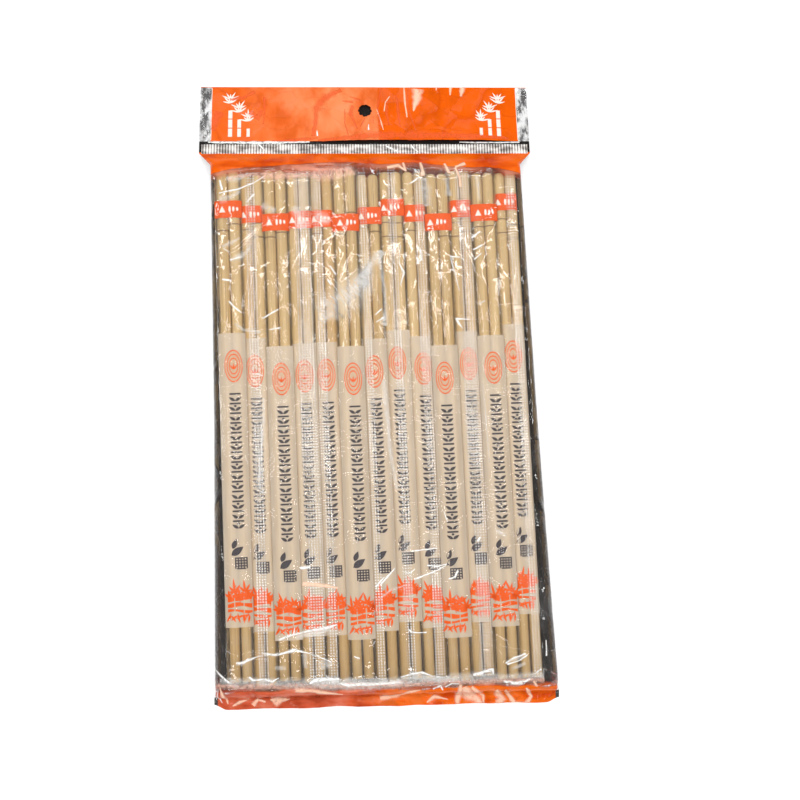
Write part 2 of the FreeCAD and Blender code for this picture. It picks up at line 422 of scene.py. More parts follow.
# %% [markdown]
# ## Clear film
#
# Polypropylene film is thin and stiff. Seen straight on it hides almost nothing, and at a slant it
# mirrors the lamps. A glass shader would be slow and dark through ten layers, so the film is a mix of
# a transparent shader and a glossy one, with Fresnel deciding between them as on real film. A little
# white haze stands for its slight milkiness, and a bump adds the crinkles too small to be modelled.

# %% A film shader that the clear materials share
white = (1.0, 1.0, 1.0)
# The sleeves' haze is warm cream: partly the film's milkiness, partly painted warm light that the sticks
# bounce into it.
warm_bounce_haze = (0.80, 0.66, 0.48)
film_ior = 1.5


def let_light_in(tree, shader, tint):
    """Film scatters light onwards as well as back, so what lies below it stays bright."""
    path = add(tree, "ShaderNodeLightPath")
    for ray in ("Is Diffuse Ray", "Is Shadow Ray"):
        through = add(tree, "ShaderNodeBsdfTransparent", values={"Color": (*tint, 1.0)})
        mixed = add(tree, "ShaderNodeMixShader", {0: path.outputs[ray], 1: shader, 2: through.outputs[0]})
        shader = mixed.outputs[0]
    return shader


def film_shader(tree, haze, tint, crinkle, haze_colour=white, shine=0.8, gloss_roughness=0.05):
    """Clear film: haze is its share of white scatter, tint what it lets through, crinkle its bump."""
    clear = add(tree, "ShaderNodeBsdfTransparent", values={"Color": (*tint, 1.0)})
    scatter = add(tree, "ShaderNodeBsdfDiffuse", {"Normal": crinkle})
    feed(tree, scatter.inputs["Color"], haze_colour)
    hazy = add(tree, "ShaderNodeMixShader", {0: haze, 1: clear.outputs[0], 2: scatter.outputs[0]})
    mirror = add(tree, "ShaderNodeBsdfGlossy", {"Normal": crinkle}, {"Roughness": gloss_roughness})
    feed(tree, mirror.inputs["Color"], white)
    slant = add(tree, "ShaderNodeFresnel", {"Normal": crinkle}, {"IOR": film_ior})
    share = maths(tree, "MULTIPLY", slant.outputs[0], shine)
    capped = maths(tree, "MINIMUM", share, 1.0)
    shiny = add(tree, "ShaderNodeMixShader", {0: capped, 1: hazy.outputs[0], 2: mirror.outputs[0]})
    return let_light_in(tree, shiny.outputs[0], tint)


print("film shader ready")


# %% Facets, and the clear film of the sleeves
sleeve_crinkles = (420.0, 160.0, 1.0)
sleeve_tint = (0.99, 0.98, 0.965)


def facets(tree, vector, per_metre, slope):
    """Heights of flat facets with sharp creases between them, each tilted its own way."""
    mapped = add(tree, "ShaderNodeMapping", {"Vector": vector}, {"Scale": (*per_metre, 1.0)}).outputs[0]
    cells = add(tree, "ShaderNodeTexVoronoi", {"Vector": mapped}, {"Scale": 1.0}, voronoi_dimensions="2D")
    from_middle = add(tree, "ShaderNodeVectorMath", {0: mapped, 1: cells.outputs["Position"]})
    from_middle.operation = "SUBTRACT"
    tilt = add(tree, "ShaderNodeVectorMath", {0: cells.outputs["Color"]}, {1: (0.5, 0.5, 0.5)})
    tilt.operation = "SUBTRACT"
    height = add(tree, "ShaderNodeVectorMath", {0: from_middle.outputs[0], 1: tilt.outputs[0]})
    height.operation = "DOT_PRODUCT"
    return maths(tree, "MULTIPLY", height.outputs["Value"], 2 * slope / per_metre[0])


def sleeve_film_material():
    """The clear part of a sleeve, drawn tight over the sticks."""
    material, tree = new_material("sleeve_film")
    flat, _, _ = flat_coordinates(tree)
    crinkles = stretched_noise(tree, flat, sleeve_crinkles, 3.0, 0.55)
    haze = ramp_value(tree, crinkles, 0.5, 0.75, 0.12, 0.012)
    creased = facets(tree, flat, (190.0, 90.0), 0.13)
    bump = bumped(tree, creased, 1.0, bumped(tree, crinkles, 0.0002))
    # The warm haze is partly painted bounce light from the sticks.
    finish_with(tree, film_shader(tree, haze, sleeve_tint, bump, warm_bounce_haze))
    return material


sleeve_film = sleeve_film_material()
print("clear sleeve film ready")

# %% [markdown]
# ## Print on the film
#
# A sleeve is printed in flat inks, a saturated orange, a dark grey, a pale tint and a peach one, with a
# frosted panel behind them that nearly hides the sticks. Ink has a weak gloss of its own and an uneven
# depth of colour. Each ink is one material, and the printed shapes are thin faces laid on the film.

# %% Inks and the frosted panel
ink_orange = (0.80, 0.095, 0.003)
ink_grey = (0.055, 0.045, 0.05)
ink_pale = (0.93, 0.80, 0.72)
ink_peach = (0.58, 0.39, 0.25)
frost_colour = (0.64, 0.535, 0.42)
frost_tint = (0.98, 0.95, 0.92)
ink_roughness = 0.32
ink_gloss = 0.2
crinkle_depth = 0.3 * MM


def ink_material(name, colour, uneven=0.12):
    """One printed ink with a weak gloss, a little lighter where it lies thin."""
    material, tree = new_material(name)
    flat, _, _ = flat_coordinates(tree)
    thin = stretched_noise(tree, flat, (700.0, 260.0, 1.0), 3.0)
    lighter = tuple(min(1.0, 1.15 * value) for value in colour)
    shade = blend_colours(tree, ramp_value(tree, thin, 0.40, 0.75, 4 * uneven), colour, lighter)
    crinkles = stretched_noise(tree, flat, sleeve_crinkles, 3.0, 0.55)
    bump = bumped(tree, crinkles, crinkle_depth)
    finish_with(tree, coated(tree, shade, bump, ink_roughness, ink_gloss))
    return material


def frosted_material():
    """The frosted panel: a milky field that the sticks show through as soft stripes."""
    material, tree = new_material("frosted_panel")
    flat, _, _ = flat_coordinates(tree)
    crinkles = stretched_noise(tree, flat, (300.0, 60.0, 1.0), 2.0, 0.5)
    bump = bumped(tree, crinkles, crinkle_depth)
    haze = ramp_value(tree, crinkles, 0.3, 0.8, 0.12, 0.66)
    finish_with(tree, film_shader(tree, haze, frost_tint, bump, frost_colour, 0.4, 0.28))
    return material


frosted = frosted_material()
orange_ink = ink_material("orange_ink", ink_orange)
grey_ink = ink_material("grey_ink", ink_grey, 0.05)
pale_ink = ink_material("pale_ink", ink_pale, 0.05)
peach_ink = ink_material("peach_ink", ink_peach)
print("inks:", [material.name for material in (orange_ink, grey_ink, pale_ink, peach_ink)])

# %% [markdown]
# ## The knurled fin
#
# Each sleeve is a flat web closed along its length by a fin, pinched between two knurled rollers.
# The rollers leave a grid of tiny white squares. The grid is worked out from the flat coordinates,
# at its real pitch, so it needs no picture.

# %% The knurl as a grid of white dots
knurl_pitch = 1.22 * MM
knurl_turns = 2 * math.pi / knurl_pitch
knurl_depth = 0.12 * MM
knurl_tint = (0.97, 0.96, 0.94)


def knurl_material():
    """Film with a grid of whitened squares, as knurled rollers leave it."""
    material, tree = new_material("knurled_fin")
    flat, across, along = flat_coordinates(tree)
    columns = maths(tree, "SINE", maths(tree, "MULTIPLY", across, knurl_turns))
    rows = maths(tree, "SINE", maths(tree, "MULTIPLY", along, knurl_turns))
    both = maths(tree, "MINIMUM", columns, rows)
    patchy = stretched_noise(tree, flat, (120.0, 45.0, 1.0), 2.0)
    dots = ramp_value(tree, both, -0.1, 0.25, 0.93, 0.05)
    haze = maths(tree, "MULTIPLY", dots, ramp_value(tree, patchy, 0.3, 0.6, 0.7, 0.3))
    finish_with(tree, film_shader(tree, haze, knurl_tint, bumped(tree, both, knurl_depth)))
    return material


knurled = knurl_material()
print("knurl pitch in mm:", round(knurl_pitch / MM, 2))

# %% [markdown]
# ## How a sleeve lies over its two sticks
#
# Drawn tight, the film touches the top of each stick and sags a little between them. At its sides it
# leaves the stick in a straight line to its folded edge, which rests on the neighbour's sleeve where
# the pair lies high. The function below gives that curve, and the print uses it too, so ink always
# lies on its film.

# %% The curve of the film across a pair
film_r = 2.62 * MM
between_sag = 0.16 * MM
wide_edge = (6.25 * MM, 1.35 * MM)
shelf_edge = (5.95 * MM, 1.85 * MM)
tucked_edge = (5.2 * MM, 0.4 * MM)
folded_in = (5.22 * MM, 0.9 * MM)
folded_share = 0.8


def film_edges(number):
    """Where the left and right folded edges of a sleeve lie: on a lower neighbour, or tucked down."""
    if number in raised_pairs:
        return wide_edge, wide_edge
    shelf = number < pairs_across and number + 1 not in raised_pairs
    return tucked_edge, shelf_edge if shelf else tucked_edge


def film_height(across, edge):
    """The height of the film over a pair, at a distance across from its middle."""
    reach = abs(across)
    if reach <= stick_offset:
        return film_r - between_sag * (1 - (reach / stick_offset) ** 2)
    span = math.hypot(edge[0] - stick_offset, edge[1])
    if span <= film_r:
        return math.sqrt(max(film_r**2 - (reach - stick_offset) ** 2, edge[1] ** 2))
    leave = math.atan2(edge[1], edge[0] - stick_offset) + math.acos(film_r / span)
    leave_at = stick_offset + film_r * math.cos(leave)
    if reach <= leave_at:
        return math.sqrt(film_r**2 - (reach - stick_offset) ** 2)
    share = (reach - leave_at) / (edge[0] - leave_at)
    return film_r * math.sin(leave) * (1 - share) + edge[1] * share


print("film height at the middle in mm:", round(film_height(0.0, wide_edge) / MM, 2))

# %% The whole section, wrinkles and welded ends
tube_half = 115.3 * MM
weld_taper = 2.0 * MM
weld_tab = 1.2 * MM
sleeve_half = tube_half + weld_taper + weld_tab
weld_height = 0.05
wrinkle_height = 0.16 * MM


def film_wrinkle(number, across, along):
    """Soft wrinkles that cross a sleeve at a slant, only ever away from the sticks."""
    slanted = Vector((across / (3.1 * MM) + along / (19 * MM), along / (7 * MM), 5.1 * number))
    return wrinkle_height * max(0.0, noise.noise(slanted))


def drawn(along):
    """How much of its height the film keeps: all of it over the sticks, almost none at a weld."""
    return 1 - (1 - weld_height) * smooth(abs(along), tube_half, tube_half + weld_taper)


def on_film(number, across, along, above=0.0):
    """A point on top of a sleeve, or just above it."""
    left, right = film_edges(number)
    edge = left if across < 0 else right
    up = film_height(across, edge) + film_wrinkle(number, across, along)
    return laid(places[number - 1], across, along, up * drawn(along) + above)


def under_film(edge_left, edge_right):
    """The film's way back below the sticks, from its right edge to its left."""
    points = []
    for side, edge in ((1, edge_right), (-1, edge_left)):
        half = [(side * folded_in[0], min(edge[1], folded_in[1]) * folded_share)]
        for angle in spread(0.0, -math.pi / 2, 6):
            half.append((side * (stick_offset + film_r * math.cos(angle)), film_r * math.sin(angle)))
        points += half if side > 0 else list(reversed(half))
    return points


print("sleeve length in mm:", round(2 * sleeve_half / MM, 1))

# %% [markdown]
# ## What is printed on a sleeve
#
# Down its length a sleeve carries a tear band with a small arrow and dots near the heads, then a long
# frosted panel with an oval badge of plain rings, a running ornament in grey, a bin mark and a band
# of bamboo stalks and leaves. The web isn't cut in step with the sticks, so every sleeve shows this
# print shifted by some millimetres. Here the shifts are given as a short list.

# %% Where the print lies on each sleeve
panel_head_edge = 37.3 * MM
panel_length = 130.5 * MM
band_above_panel = 53.2 * MM
band_height = 8.0 * MM
print_shifts = (1.8, 1.3, -4.4, -2.1, -1.3, -4.8, 0.4, 3.0, 0.2, -2.9, 1.7, 1.1, 6.0)
ink_above = 0.03 * MM
mark_above = 0.05 * MM
cell = 0.6 * MM
oval_corners = 32
leaf_stem = 0.04
CLEAR, BAND, FROST, KNURL, ORANGE, GREY, PALE, PEACH = range(8)
sleeve_materials = [sleeve_film, orange_ink, frosted, knurled, orange_ink, grey_ink, pale_ink, peach_ink]


def panel_edge(number):
    """The end of the frosted panel that is nearer to the heads."""
    return panel_head_edge + print_shifts[number - 1] * MM


print("print shifts in mm:", print_shifts)


# %% Outlines that the sleeves' print and the header's print share
def block_rows(across, down, width, height, columns, lines):
    """Rows of points of a filled rectangle about its middle."""
    return [
        [(x, y) for x in spread(across - width / 2, across + width / 2, max(2, columns))]
        for y in spread(down - height / 2, down + height / 2, max(2, lines))
    ]


def leaf_rows(across, down, length, width, turn_deg, stem):
    """Rows of points of a pointed leaf from its stem, turned from straight up towards the heads."""
    turn = math.radians(turn_deg)
    ahead = (math.sin(turn), -math.cos(turn))
    rows = []
    for share in spread(0.0, 1.0, 7):
        half = width / 2 * (stem + math.sin(math.pi * share**0.8))
        x = across + ahead[0] * length * share
        y = down + ahead[1] * length * share
        rows.append([(x - side * half * ahead[1], y + side * half * ahead[0]) for side in (-1, 0, 1)])
    return rows


print("rows in a leaf:", len(leaf_rows(0.0, 0.0, 1.0, 1.0, 0.0, leaf_stem)))


# %% Printed shapes, laid on the film as small grids
class Print:
    """Draws flat shapes on the film of one sleeve, measured from the panel's edge down to the tips."""

    def __init__(self, skin, number, side_shift):
        self.skin = skin
        self.number = number
        self.side_shift = side_shift

    def lay(self, rows, ink, above, around=False):
        """Lays rows of (across, down) points on the film."""
        points = []
        flat = []
        for row in rows:
            laid_row = []
            flat_row = []
            for across, down in row:
                at = (across + self.side_shift, panel_edge(self.number) - down)
                laid_row.append(on_film(self.number, at[0], at[1], above))
                flat_row.append(at)
            points.append(laid_row)
            flat.append(flat_row + flat_row[:1] if around else flat_row)
        self.skin.grid(points, flat, ink, around)

    def block(self, across, down, width, height, ink):
        """A filled rectangle about its middle."""
        columns = math.ceil(width / cell) + 1
        lines = math.ceil(height / (3 * cell)) + 1
        self.lay(block_rows(across, down, width, height, columns, lines), ink, ink_above)

    def oval(self, across, down, half_width, half_height, inner, ink, above=ink_above):
        """A ring, or with inner at 0 a filled oval."""
        steps = max(2, math.ceil((1 - inner) * half_width / cell) + 1)
        angles = [2 * math.pi * i / oval_corners for i in range(oval_corners)]
        rows = []
        for share in spread(max(inner, 0.02), 1.0, steps):
            wide = share * half_width
            tall = share * half_height
            rows.append([(across + wide * math.cos(a), down + tall * math.sin(a)) for a in angles])
        self.lay(rows, ink, above, around=True)

    def leaf(self, across, down, length, width, turn_deg, ink, above=ink_above):
        """A pointed bamboo leaf from its stem."""
        self.lay(leaf_rows(across, down, length, width, turn_deg, leaf_stem), ink, above)

    def arrow(self, across, down, size, ink):
        """A small triangle that points to the heads."""
        rows = []
        for share in spread(0.06, 1.0, 4):
            y = down + size * (share - 0.5)
            rows.append([(across + s * size * 0.5 * share, y) for s in spread(-1.0, 1.0, 5)])
        self.lay(rows, ink, mark_above)


print("printed shapes ready")


# %% The badge and the running ornament
badge_down = 15.0 * MM
badge_half = (4.0 * MM, 7.4 * MM)
badge_rings = (1.0, 0.76, 0.52)
ring_share = 0.075
ornament_down = (27.0 * MM, 88.0 * MM)
ornament_steps = 14
ornament_across = 0.3 * MM


def print_badge(ink):
    """Plain rings about a sprig of three leaves."""
    ink.oval(0, badge_down, badge_half[0], badge_half[1], 0.0, PEACH)
    for share in badge_rings:
        wide = share * badge_half[0]
        tall = share * badge_half[1]
        ink.oval(0, badge_down, wide, tall, 1 - ring_share / share, ORANGE, mark_above)
    for turn in (-38, 0, 38):
        ink.leaf(0, badge_down + 1.6 * MM, 2.9 * MM, 0.7 * MM, turn, ORANGE, mark_above)


def print_ornament(ink):
    """A run of grey leaf pairs, bars and dots."""
    step = (ornament_down[1] - ornament_down[0]) / ornament_steps
    for i in range(ornament_steps):
        down = ornament_down[0] + (i + 0.5) * step
        ink.block(ornament_across, down - 1.6 * MM, 5.0 * MM, 0.8 * MM, GREY)
        for side in (-1, 1):
            ink.leaf(ornament_across, down + 1.6 * MM, 3.3 * MM, 1.3 * MM, 58 * side, GREY)
        if i % 2:
            ink.oval(ornament_across, down - 0.5 * MM, 0.6 * MM, 0.5 * MM, 0.0, GREY)


print("ornament's step in mm:", round((ornament_down[1] - ornament_down[0]) / ornament_steps / MM, 2))


# %% The bin mark and the marks on the tear band
bin_down = 99.5 * MM


def print_bin(ink):
    """A bin with a grid, and two leaves that drop into it."""
    for row in range(5):
        ink.block(1.0 * MM, bin_down + (0.9 + 1.15 * row) * MM, (5.6 - 0.4 * row) * MM, 0.6 * MM, GREY)
    for column in range(5):
        ink.block((-1.5 + 1.25 * column) * MM, bin_down + 3.2 * MM, 0.55 * MM, 4.6 * MM, GREY)
    ink.leaf(-3.2 * MM, bin_down - 0.4 * MM, 6.4 * MM, 3.0 * MM, 56, GREY)
    ink.leaf(-2.6 * MM, bin_down - 3.2 * MM, 4.6 * MM, 2.2 * MM, 22, GREY)


def print_band(ink):
    """The marks on the tear band: an arrow and a few dots."""
    middle = -(band_above_panel + band_height / 2)
    ink.arrow(-3.2 * MM, middle, 3.0 * MM, PALE)
    for i in range(3):
        ink.oval((0.2 + 1.7 * i) * MM, middle, 0.55 * MM, (1.5 - 0.3 * i) * MM, 0.0, PALE, mark_above)


print("bin mark in mm below the panel's edge:", round(bin_down / MM, 1))


# %% The bamboo band
stalks_down = (117.9 * MM, 120.9 * MM, 123.4 * MM)
stalk_heights = (2.2 * MM, 1.7 * MM, 1.1 * MM)


def print_stalk(ink, half, down, height, phase):
    """A wavy bamboo stalk across the panel, in joints with a thin light line between them."""
    columns = spread(-half, half, 81)
    for start, end in ((-1.0, -0.42), (-0.40, 0.33), (0.35, 1.0)):
        line = [x for x in columns if start * half <= x <= end * half][::3]
        rows = []
        for share in (-0.5, 0.0, 0.5):
            bend = [0.45 * MM * math.sin(x / (2.2 * MM) + phase) for x in line]
            swell = [height * (1 + 0.22 * math.sin(x / (1.3 * MM) + 2 * phase)) for x in line]
            rows.append([(x, down + y + share * tall) for x, y, tall in zip(line, bend, swell)])
        ink.lay(rows, ORANGE, ink_above)


def print_bamboo(ink, number):
    """Wavy stalks across the panel with sprays of thin leaves above and below."""
    left, right = film_edges(number)
    half = min(left[0], right[0]) - 0.25 * MM - abs(ink.side_shift)
    for down, height in zip(stalks_down, stalk_heights):
        print_stalk(ink, half, down, height, number + down / (2 * MM))
    for i, across in enumerate(spread(-0.84 * half, 0.84 * half, 5)):
        foot = stalks_down[0] - (0.4 + 2.2 * (i % 2)) * MM
        lean_out = 30 * math.sin(2.4 * i + number)
        ink.block(across, foot + 0.8 * MM, 0.35 * MM, 2.6 * MM, ORANGE)
        for turn, length in ((-74, 3.4), (-34, 4.4), (4, 5.2), (44, 4.0), (82, 3.0)):
            reach = length * (1 + 0.25 * math.sin(1.9 * turn + i)) * MM
            ink.leaf(across, foot, reach, 1.05 * MM, lean_out + turn, ORANGE)
    last = stalks_down[2]
    for i, across in enumerate(spread(-0.72 * half, 0.72 * half, 4)):
        ink.leaf(across, last + 0.6 * MM, 4.4 * MM, 0.5 * MM, 180 + 30 * math.cos(2.1 * i), ORANGE)
        for turn in (-34, 38):
            ink.leaf(across, last + 1.8 * MM, 3.6 * MM, 0.9 * MM, 180 + turn + 14 * i, ORANGE)


print("stalks across a panel:", len(stalks_down))

# %% [markdown]
# ## Making the sleeves
#
# One closed skin goes round each pair: over the top, in at the folded edges and back below. Rows of
# the grid fall exactly on the ends of the tear band and the panel, so those fields are the film's own
# faces in another finish. Some pairs lie turned, so that their knurled fin shows on top. The flat
# coordinates of each sleeve start at their own place, so that no two are crinkled alike.

# %% The film of one sleeve
row_step = 2.4 * MM
top_points = 31
crinkle_shift = 20 * MM
under_shift = 30 * MM
closing_shift = 40 * MM


def sleeve_rows(number):
    """Places along a sleeve, with the ends of its printed fields among them."""
    edge = panel_edge(number)
    fields = [edge, edge - panel_length, edge + band_above_panel, edge + band_above_panel + band_height]
    count = int(2 * tube_half / row_step)
    evenly = spread(-tube_half, tube_half, count)
    evenly = [v for v in evenly if all(abs(v - field) > 0.5 * MM for field in fields)]
    ends = [side * v for v in spread(tube_half, sleeve_half, 5)[1:] for side in (-1, 1)]
    return sorted(evenly + fields + ends), fields


def sleeve_finish(middle, fields):
    """Which finish a strip of the film has."""
    if fields[1] < middle < fields[0]:
        return FROST
    if fields[2] < middle < fields[3]:
        return BAND
    return CLEAR


def wrap_sleeve(skin, number):
    """The film of one front row sleeve."""
    left, right = film_edges(number)
    top = spread(-left[0], right[0], top_points)
    below = under_film(left, right)
    alongs, fields = sleeve_rows(number)
    rows = []
    flat = []
    for along in alongs:
        row = [on_film(number, across, along) for across in top]
        row += [laid(places[number - 1], x, along, z * drawn(along)) for x, z in below]
        rows.append(row)
        pattern = top + [x + under_shift for x, z in below] + [left[0] + closing_shift]
        flat.append([(across + crinkle_shift * number, along) for across in pattern])
    finishes = [sleeve_finish((a + b) / 2, fields) for a, b in zip(alongs, alongs[1:])]
    skin.grid(rows, flat, finishes, around=True)


print("rows along the first sleeve:", len(sleeve_rows(1)[0]))


# %% The fins, and all the front row's sleeves
# Each turned pair: its number, then the middle and the half width of its fin, in mm
fins_on_top = {
    2: (-0.4, 2.2), 4: (1.7, 3.6), 5: (-2.2, 2.1), 7: (-2.7, 3.3),
    8: (0.2, 1.9), 9: (2.4, 2.4), 11: (1.3, 3.5), 13: (2.2, 1.8),
}
fin_above = 0.16 * MM
fin_margin = 0.6 * MM
fin_wander = 0.25 * MM
side_wander = 0.7 * MM


def fold_fin(skin, number):
    """The knurled fin where it lies folded on top of a turned pair."""
    rows = []
    flat = []
    middle, half = [value * MM for value in fins_on_top[number]]
    left, right = film_edges(number)
    room = (left[0] + middle if middle < 0 else right[0] - middle) - fin_margin
    fin_half = min(half, room)
    for along in spread(-tube_half, tube_half, 90):
        wander = fin_wander * math.sin(along / (23 * MM) + number)
        columns = [middle + wander + side * fin_half for side in spread(-1.0, 1.0, 13)]
        rows.append([on_film(number, across, along, fin_above) for across in columns])
        flat.append([(across - middle, along) for across in columns])
    skin.grid(rows, flat, KNURL)


for number, name in enumerate(pair_names, start=1):
    skin = Skin()
    wrap_sleeve(skin, number)
    ink = Print(skin, number, side_wander * math.sin(2.3 * number))
    print_badge(ink)
    print_ornament(ink)
    print_bin(ink)
    print_bamboo(ink, number)
    print_band(ink)
    if number in fins_on_top:
        fold_fin(skin, number)
    film = skin.piece(name + "_film_sleeve", sleeve_materials)
    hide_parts(name + "_sleeve")
print("faces in the last sleeve:", len(skin.faces))

# %% The back row's sleeves, in one piece like their sticks
section_step = 1.4 * MM


def back_sleeve(skin, place):
    """A plain sleeve for a pair of the back row."""
    section = []
    for side, start, end in ((1, -90, 90), (-1, 90, 270)):
        for angle in spread(math.radians(start), math.radians(end), 9):
            section.append((side * stick_offset + film_r * math.cos(angle), film_r * math.sin(angle)))
    alongs = [-sleeve_half, -tube_half - weld_taper] + spread(-tube_half, tube_half, 40)
    alongs += [tube_half + weld_taper, sleeve_half]
    rows = [[laid(place, x, along, z * drawn(along)) for x, z in section] for along in alongs]
    flat = [[(i * section_step, along) for i in range(len(section) + 1)] for along in alongs]
    skin.grid(rows, flat, around=True)


skin = Skin()
for place in back_places:
    back_sleeve(skin, place)
back_film = skin.piece("back_row_film_sleeves", [sleeve_film])
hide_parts("back_row_sleeves")
print("back row sleeves:", len(back_places))

# %% [markdown]
# ## The pouch
#
# The pouch is one film bag, drawn flat over the rows, with a fold down each side, a weld at the foot
# and a ribbed weld above the heads. It carries print too: an orange field at each end. The back film
# is smoky, which makes the margins beside the rows look dark. The bag is two grids, its top film and
# its back film, that meet at the side folds. Wrinkles and creases are added to the top as heights.

# %% Stations along the pouch
# Each station: along the pack, lowest and highest film, half width of the flat part, width to the fold
pouch_stations = (
    (-143.85, 0.02, 0.40, 76.84, 0.40),
    (-139.65, 0.02, 0.40, 76.84, 0.40),
    (-135.65, 0.02, 10.76, 69.64, 6.40),
    (-131.95, 0.02, 13.16, 69.64, 6.40),
    (-15.65, 0.02, 13.16, 69.64, 3.80),
    (100.65, 0.02, 13.16, 69.64, 2.40),
    (104.35, 0.30, 10.76, 69.64, 2.60),
    (109.80, 5.60, 6.00, 76.84, 0.40),
    (143.40, 0.30, 0.62, 76.84, 0.40),
)
drop_step = 5.5
middle_slope = math.tan(lean)
middle_zero = -15.15 * MM
middle_limits = (-139.65 * MM, 109.35 * MM)


def middle_x(y):
    """The pack has slid askew between its seals: where its middle line is."""
    return -middle_slope * (min(max(y, middle_limits[0]), middle_limits[1]) - middle_zero)


def station(y):
    """The film's low and high heights, flat half width and fold width at a place along the pack."""
    for near, far in zip(pouch_stations, pouch_stations[1:]):
        if y <= far[0] * MM:
            share = (y / MM - near[0]) / (far[0] - near[0])
            if abs(far[2] - near[2]) > drop_step:
                share = smooth(share, 0.0, 1.0)
            return [(a + (b - a) * share) * MM for a, b in zip(near[1:], far[1:])]
    return [value * MM for value in pouch_stations[-1][1:]]


print("pouch height over the sticks in mm:", round(station(0.0)[1] / MM, 2))


# %% Wrinkles and creases of the top film
billow_height = 0.32 * MM
ridge_height = 0.22 * MM
crease_wander = 0.7
# Each crease: start and end across and along the pack, its height and its half width, all in mm
creases = (
    (-63.0, -121.9, -52.6, -118.0, 0.7, 0.9),
    (-52.6, -118.0, -38.6, -116.3, 0.8, 0.9),
    (-38.6, -116.3, -20.7, -121.5, 0.6, 0.9),
    (-44.4, -112.0, -37.7, -110.0, 0.6, 0.8),
    (-37.7, -110.0, -19.8, -105.4, 0.6, 0.8),
    (-30.9, -131.0, 10.0, -132.6, 0.9, 1.4),
    (10.0, -132.6, 34.0, -131.6, 0.7, 1.2),
    (-66.0, 62.0, -40.0, 84.0, 0.5, 1.0),
    (-60.0, 40.0, -54.0, 66.0, 0.4, 0.9),
    (-24.9, 57.3, -2.6, 29.5, 0.5, 1.3),
    (-6.0, 70.0, -18.0, 46.0, 0.4, 1.0),
    (14.0, 88.0, 2.0, 60.0, 0.4, 0.9),
    (34.0, 72.0, 44.0, 50.0, 0.5, 1.1),
    (60.0, 92.0, 52.0, 66.0, 0.4, 1.0),
    (-50.0, 96.0, -6.0, 101.0, 0.9, 1.8),
    (20.0, 97.0, 56.0, 99.0, 0.6, 1.4),
    (44.0, -112.0, 66.0, -122.0, 0.6, 1.0),
    (30.0, -90.0, 62.0, -104.0, 0.3, 0.9),
)


def crease_height(x, y):
    """The height that the creases add at a point."""
    total = 0.0
    for x0, y0, x1, y1, height, half in creases:
        dx = x1 - x0
        dy = y1 - y0
        length = math.hypot(dx, dy)
        along = ((x / MM - x0) * dx + (y / MM - y0) * dy) / length
        aside = ((x / MM - x0) * dy - (y / MM - y0) * dx) / length
        aside += crease_wander * math.sin(along / 3.3 + x0)
        ease = 2 * half
        if -ease < along < length + ease and abs(aside) < 3 * half:
            fade = smooth(along, -ease, ease) * (1 - smooth(along, length - ease, length + ease))
            total = max(total, height * fade * math.exp(-((aside / half) ** 2)))
    return total * MM


def film_waves(x, y):
    """Soft billows over the whole top film, with sharper folds among them."""
    soft = noise.noise(Vector((x / (17 * MM), y / (26 * MM), 0.3)))
    sharp = 1 - abs(noise.noise(Vector((x / (9 * MM) + 4, y / (15 * MM), 2.7)))) * 2.6
    return billow_height * soft + ridge_height * max(0.0, sharp)


print("creases:", len(creases))

# %% A point of the pouch's film
shoulder_power = 2.2
foot_weld = 134.0 * MM
foot_pull = 1.3 * MM
foot_pucker = 1.1 * MM
foot_corner = (71 * MM, 77 * MM)


def foot_gather(x, y):
    """How far the foot weld is pulled in, and how high it is puckered, at a point."""
    near_edge = smooth(-y, foot_weld, -pouch_stations[0][0] * MM)
    pull = 0.5 + 0.5 * noise.noise(Vector((x / (15 * MM), 3.1, 1.0))) + 1.6 * smooth(abs(x), *foot_corner)
    pucker = noise.noise(Vector((x / (6 * MM) + y / (5 * MM), y / (7 * MM), 4.4)))
    pucker += 0.6 * noise.noise(Vector((x / (2.5 * MM), y / (4 * MM) - x / (5 * MM), 9.4)))
    height = foot_pucker * max(0.0, pucker) * smooth(-y, foot_weld - 2 * MM, foot_weld + 2 * MM)
    return foot_pull * pull * near_edge, height


def pouch_point(y, share, above):
    """A point of the pouch's film. share runs from -1 at the left fold to 1 at the right one."""
    low, high, half, fold = station(y)
    pull, pucker = foot_gather(share * half, y)
    seam = half + fold
    middle_z = (low + high) / 2
    x = share * seam
    reach = abs(x)
    drop = min(max((reach - half) / fold, 0.0), 1.0)
    rounding = (1 - drop**shoulder_power) ** (1 / shoulder_power)
    if not above:
        return (middle_x(y) + x, y + pull, middle_z + (low - middle_z) * rounding)
    z = middle_z + (high - middle_z) * rounding + pucker * (1 - drop**4)
    flatness = smooth(high - low, 1 * MM, 9 * MM)
    calm = 1 - smooth(reach, half - 1 * MM, seam)
    z += flatness * calm * (film_waves(x, y) + crease_height(middle_x(y) + x, y))
    return (middle_x(y) + x, y + pull, z)


print("top film at the middle in mm:", round(pouch_point(0.0, 0.0, True)[2] / MM, 2))


# %% The top film and the back film as two grids
top_columns = 205
top_step = 0.88 * MM
back_columns = 60
back_step = 3.0 * MM
closer_at_folds = 0.12


def pouch_rows(step):
    """Places along the pouch, at the stations and evenly between them."""
    stops = []
    for near, far in zip(pouch_stations, pouch_stations[1:]):
        count = max(2, math.ceil((far[0] - near[0]) * MM / step) + 1)
        stops += spread(near[0] * MM, far[0] * MM, count)[:-1]
    return stops + [pouch_stations[-1][0] * MM]


def pouch_shares(count):
    """Places across the pouch from fold to fold, a little closer together at the folds."""
    even = spread(-1.0, 1.0, count)
    return [math.sin(0.5 * math.pi * s) * closer_at_folds + (1 - closer_at_folds) * s for s in even]


skin = Skin()
for above, count, step in ((True, top_columns, top_step), (False, back_columns, back_step)):
    shares = pouch_shares(count)
    rows = []
    flat = []
    for y in pouch_rows(step):
        columns = shares if above else list(reversed(shares))
        rows.append([pouch_point(y, share, above) for share in columns])
        reach = station(y)[2] + station(y)[3]
        flat.append([(share * reach, y) for share in columns])
    skin.grid(rows, flat, 0 if above else 1)
print("faces in the pouch:", len(skin.faces))
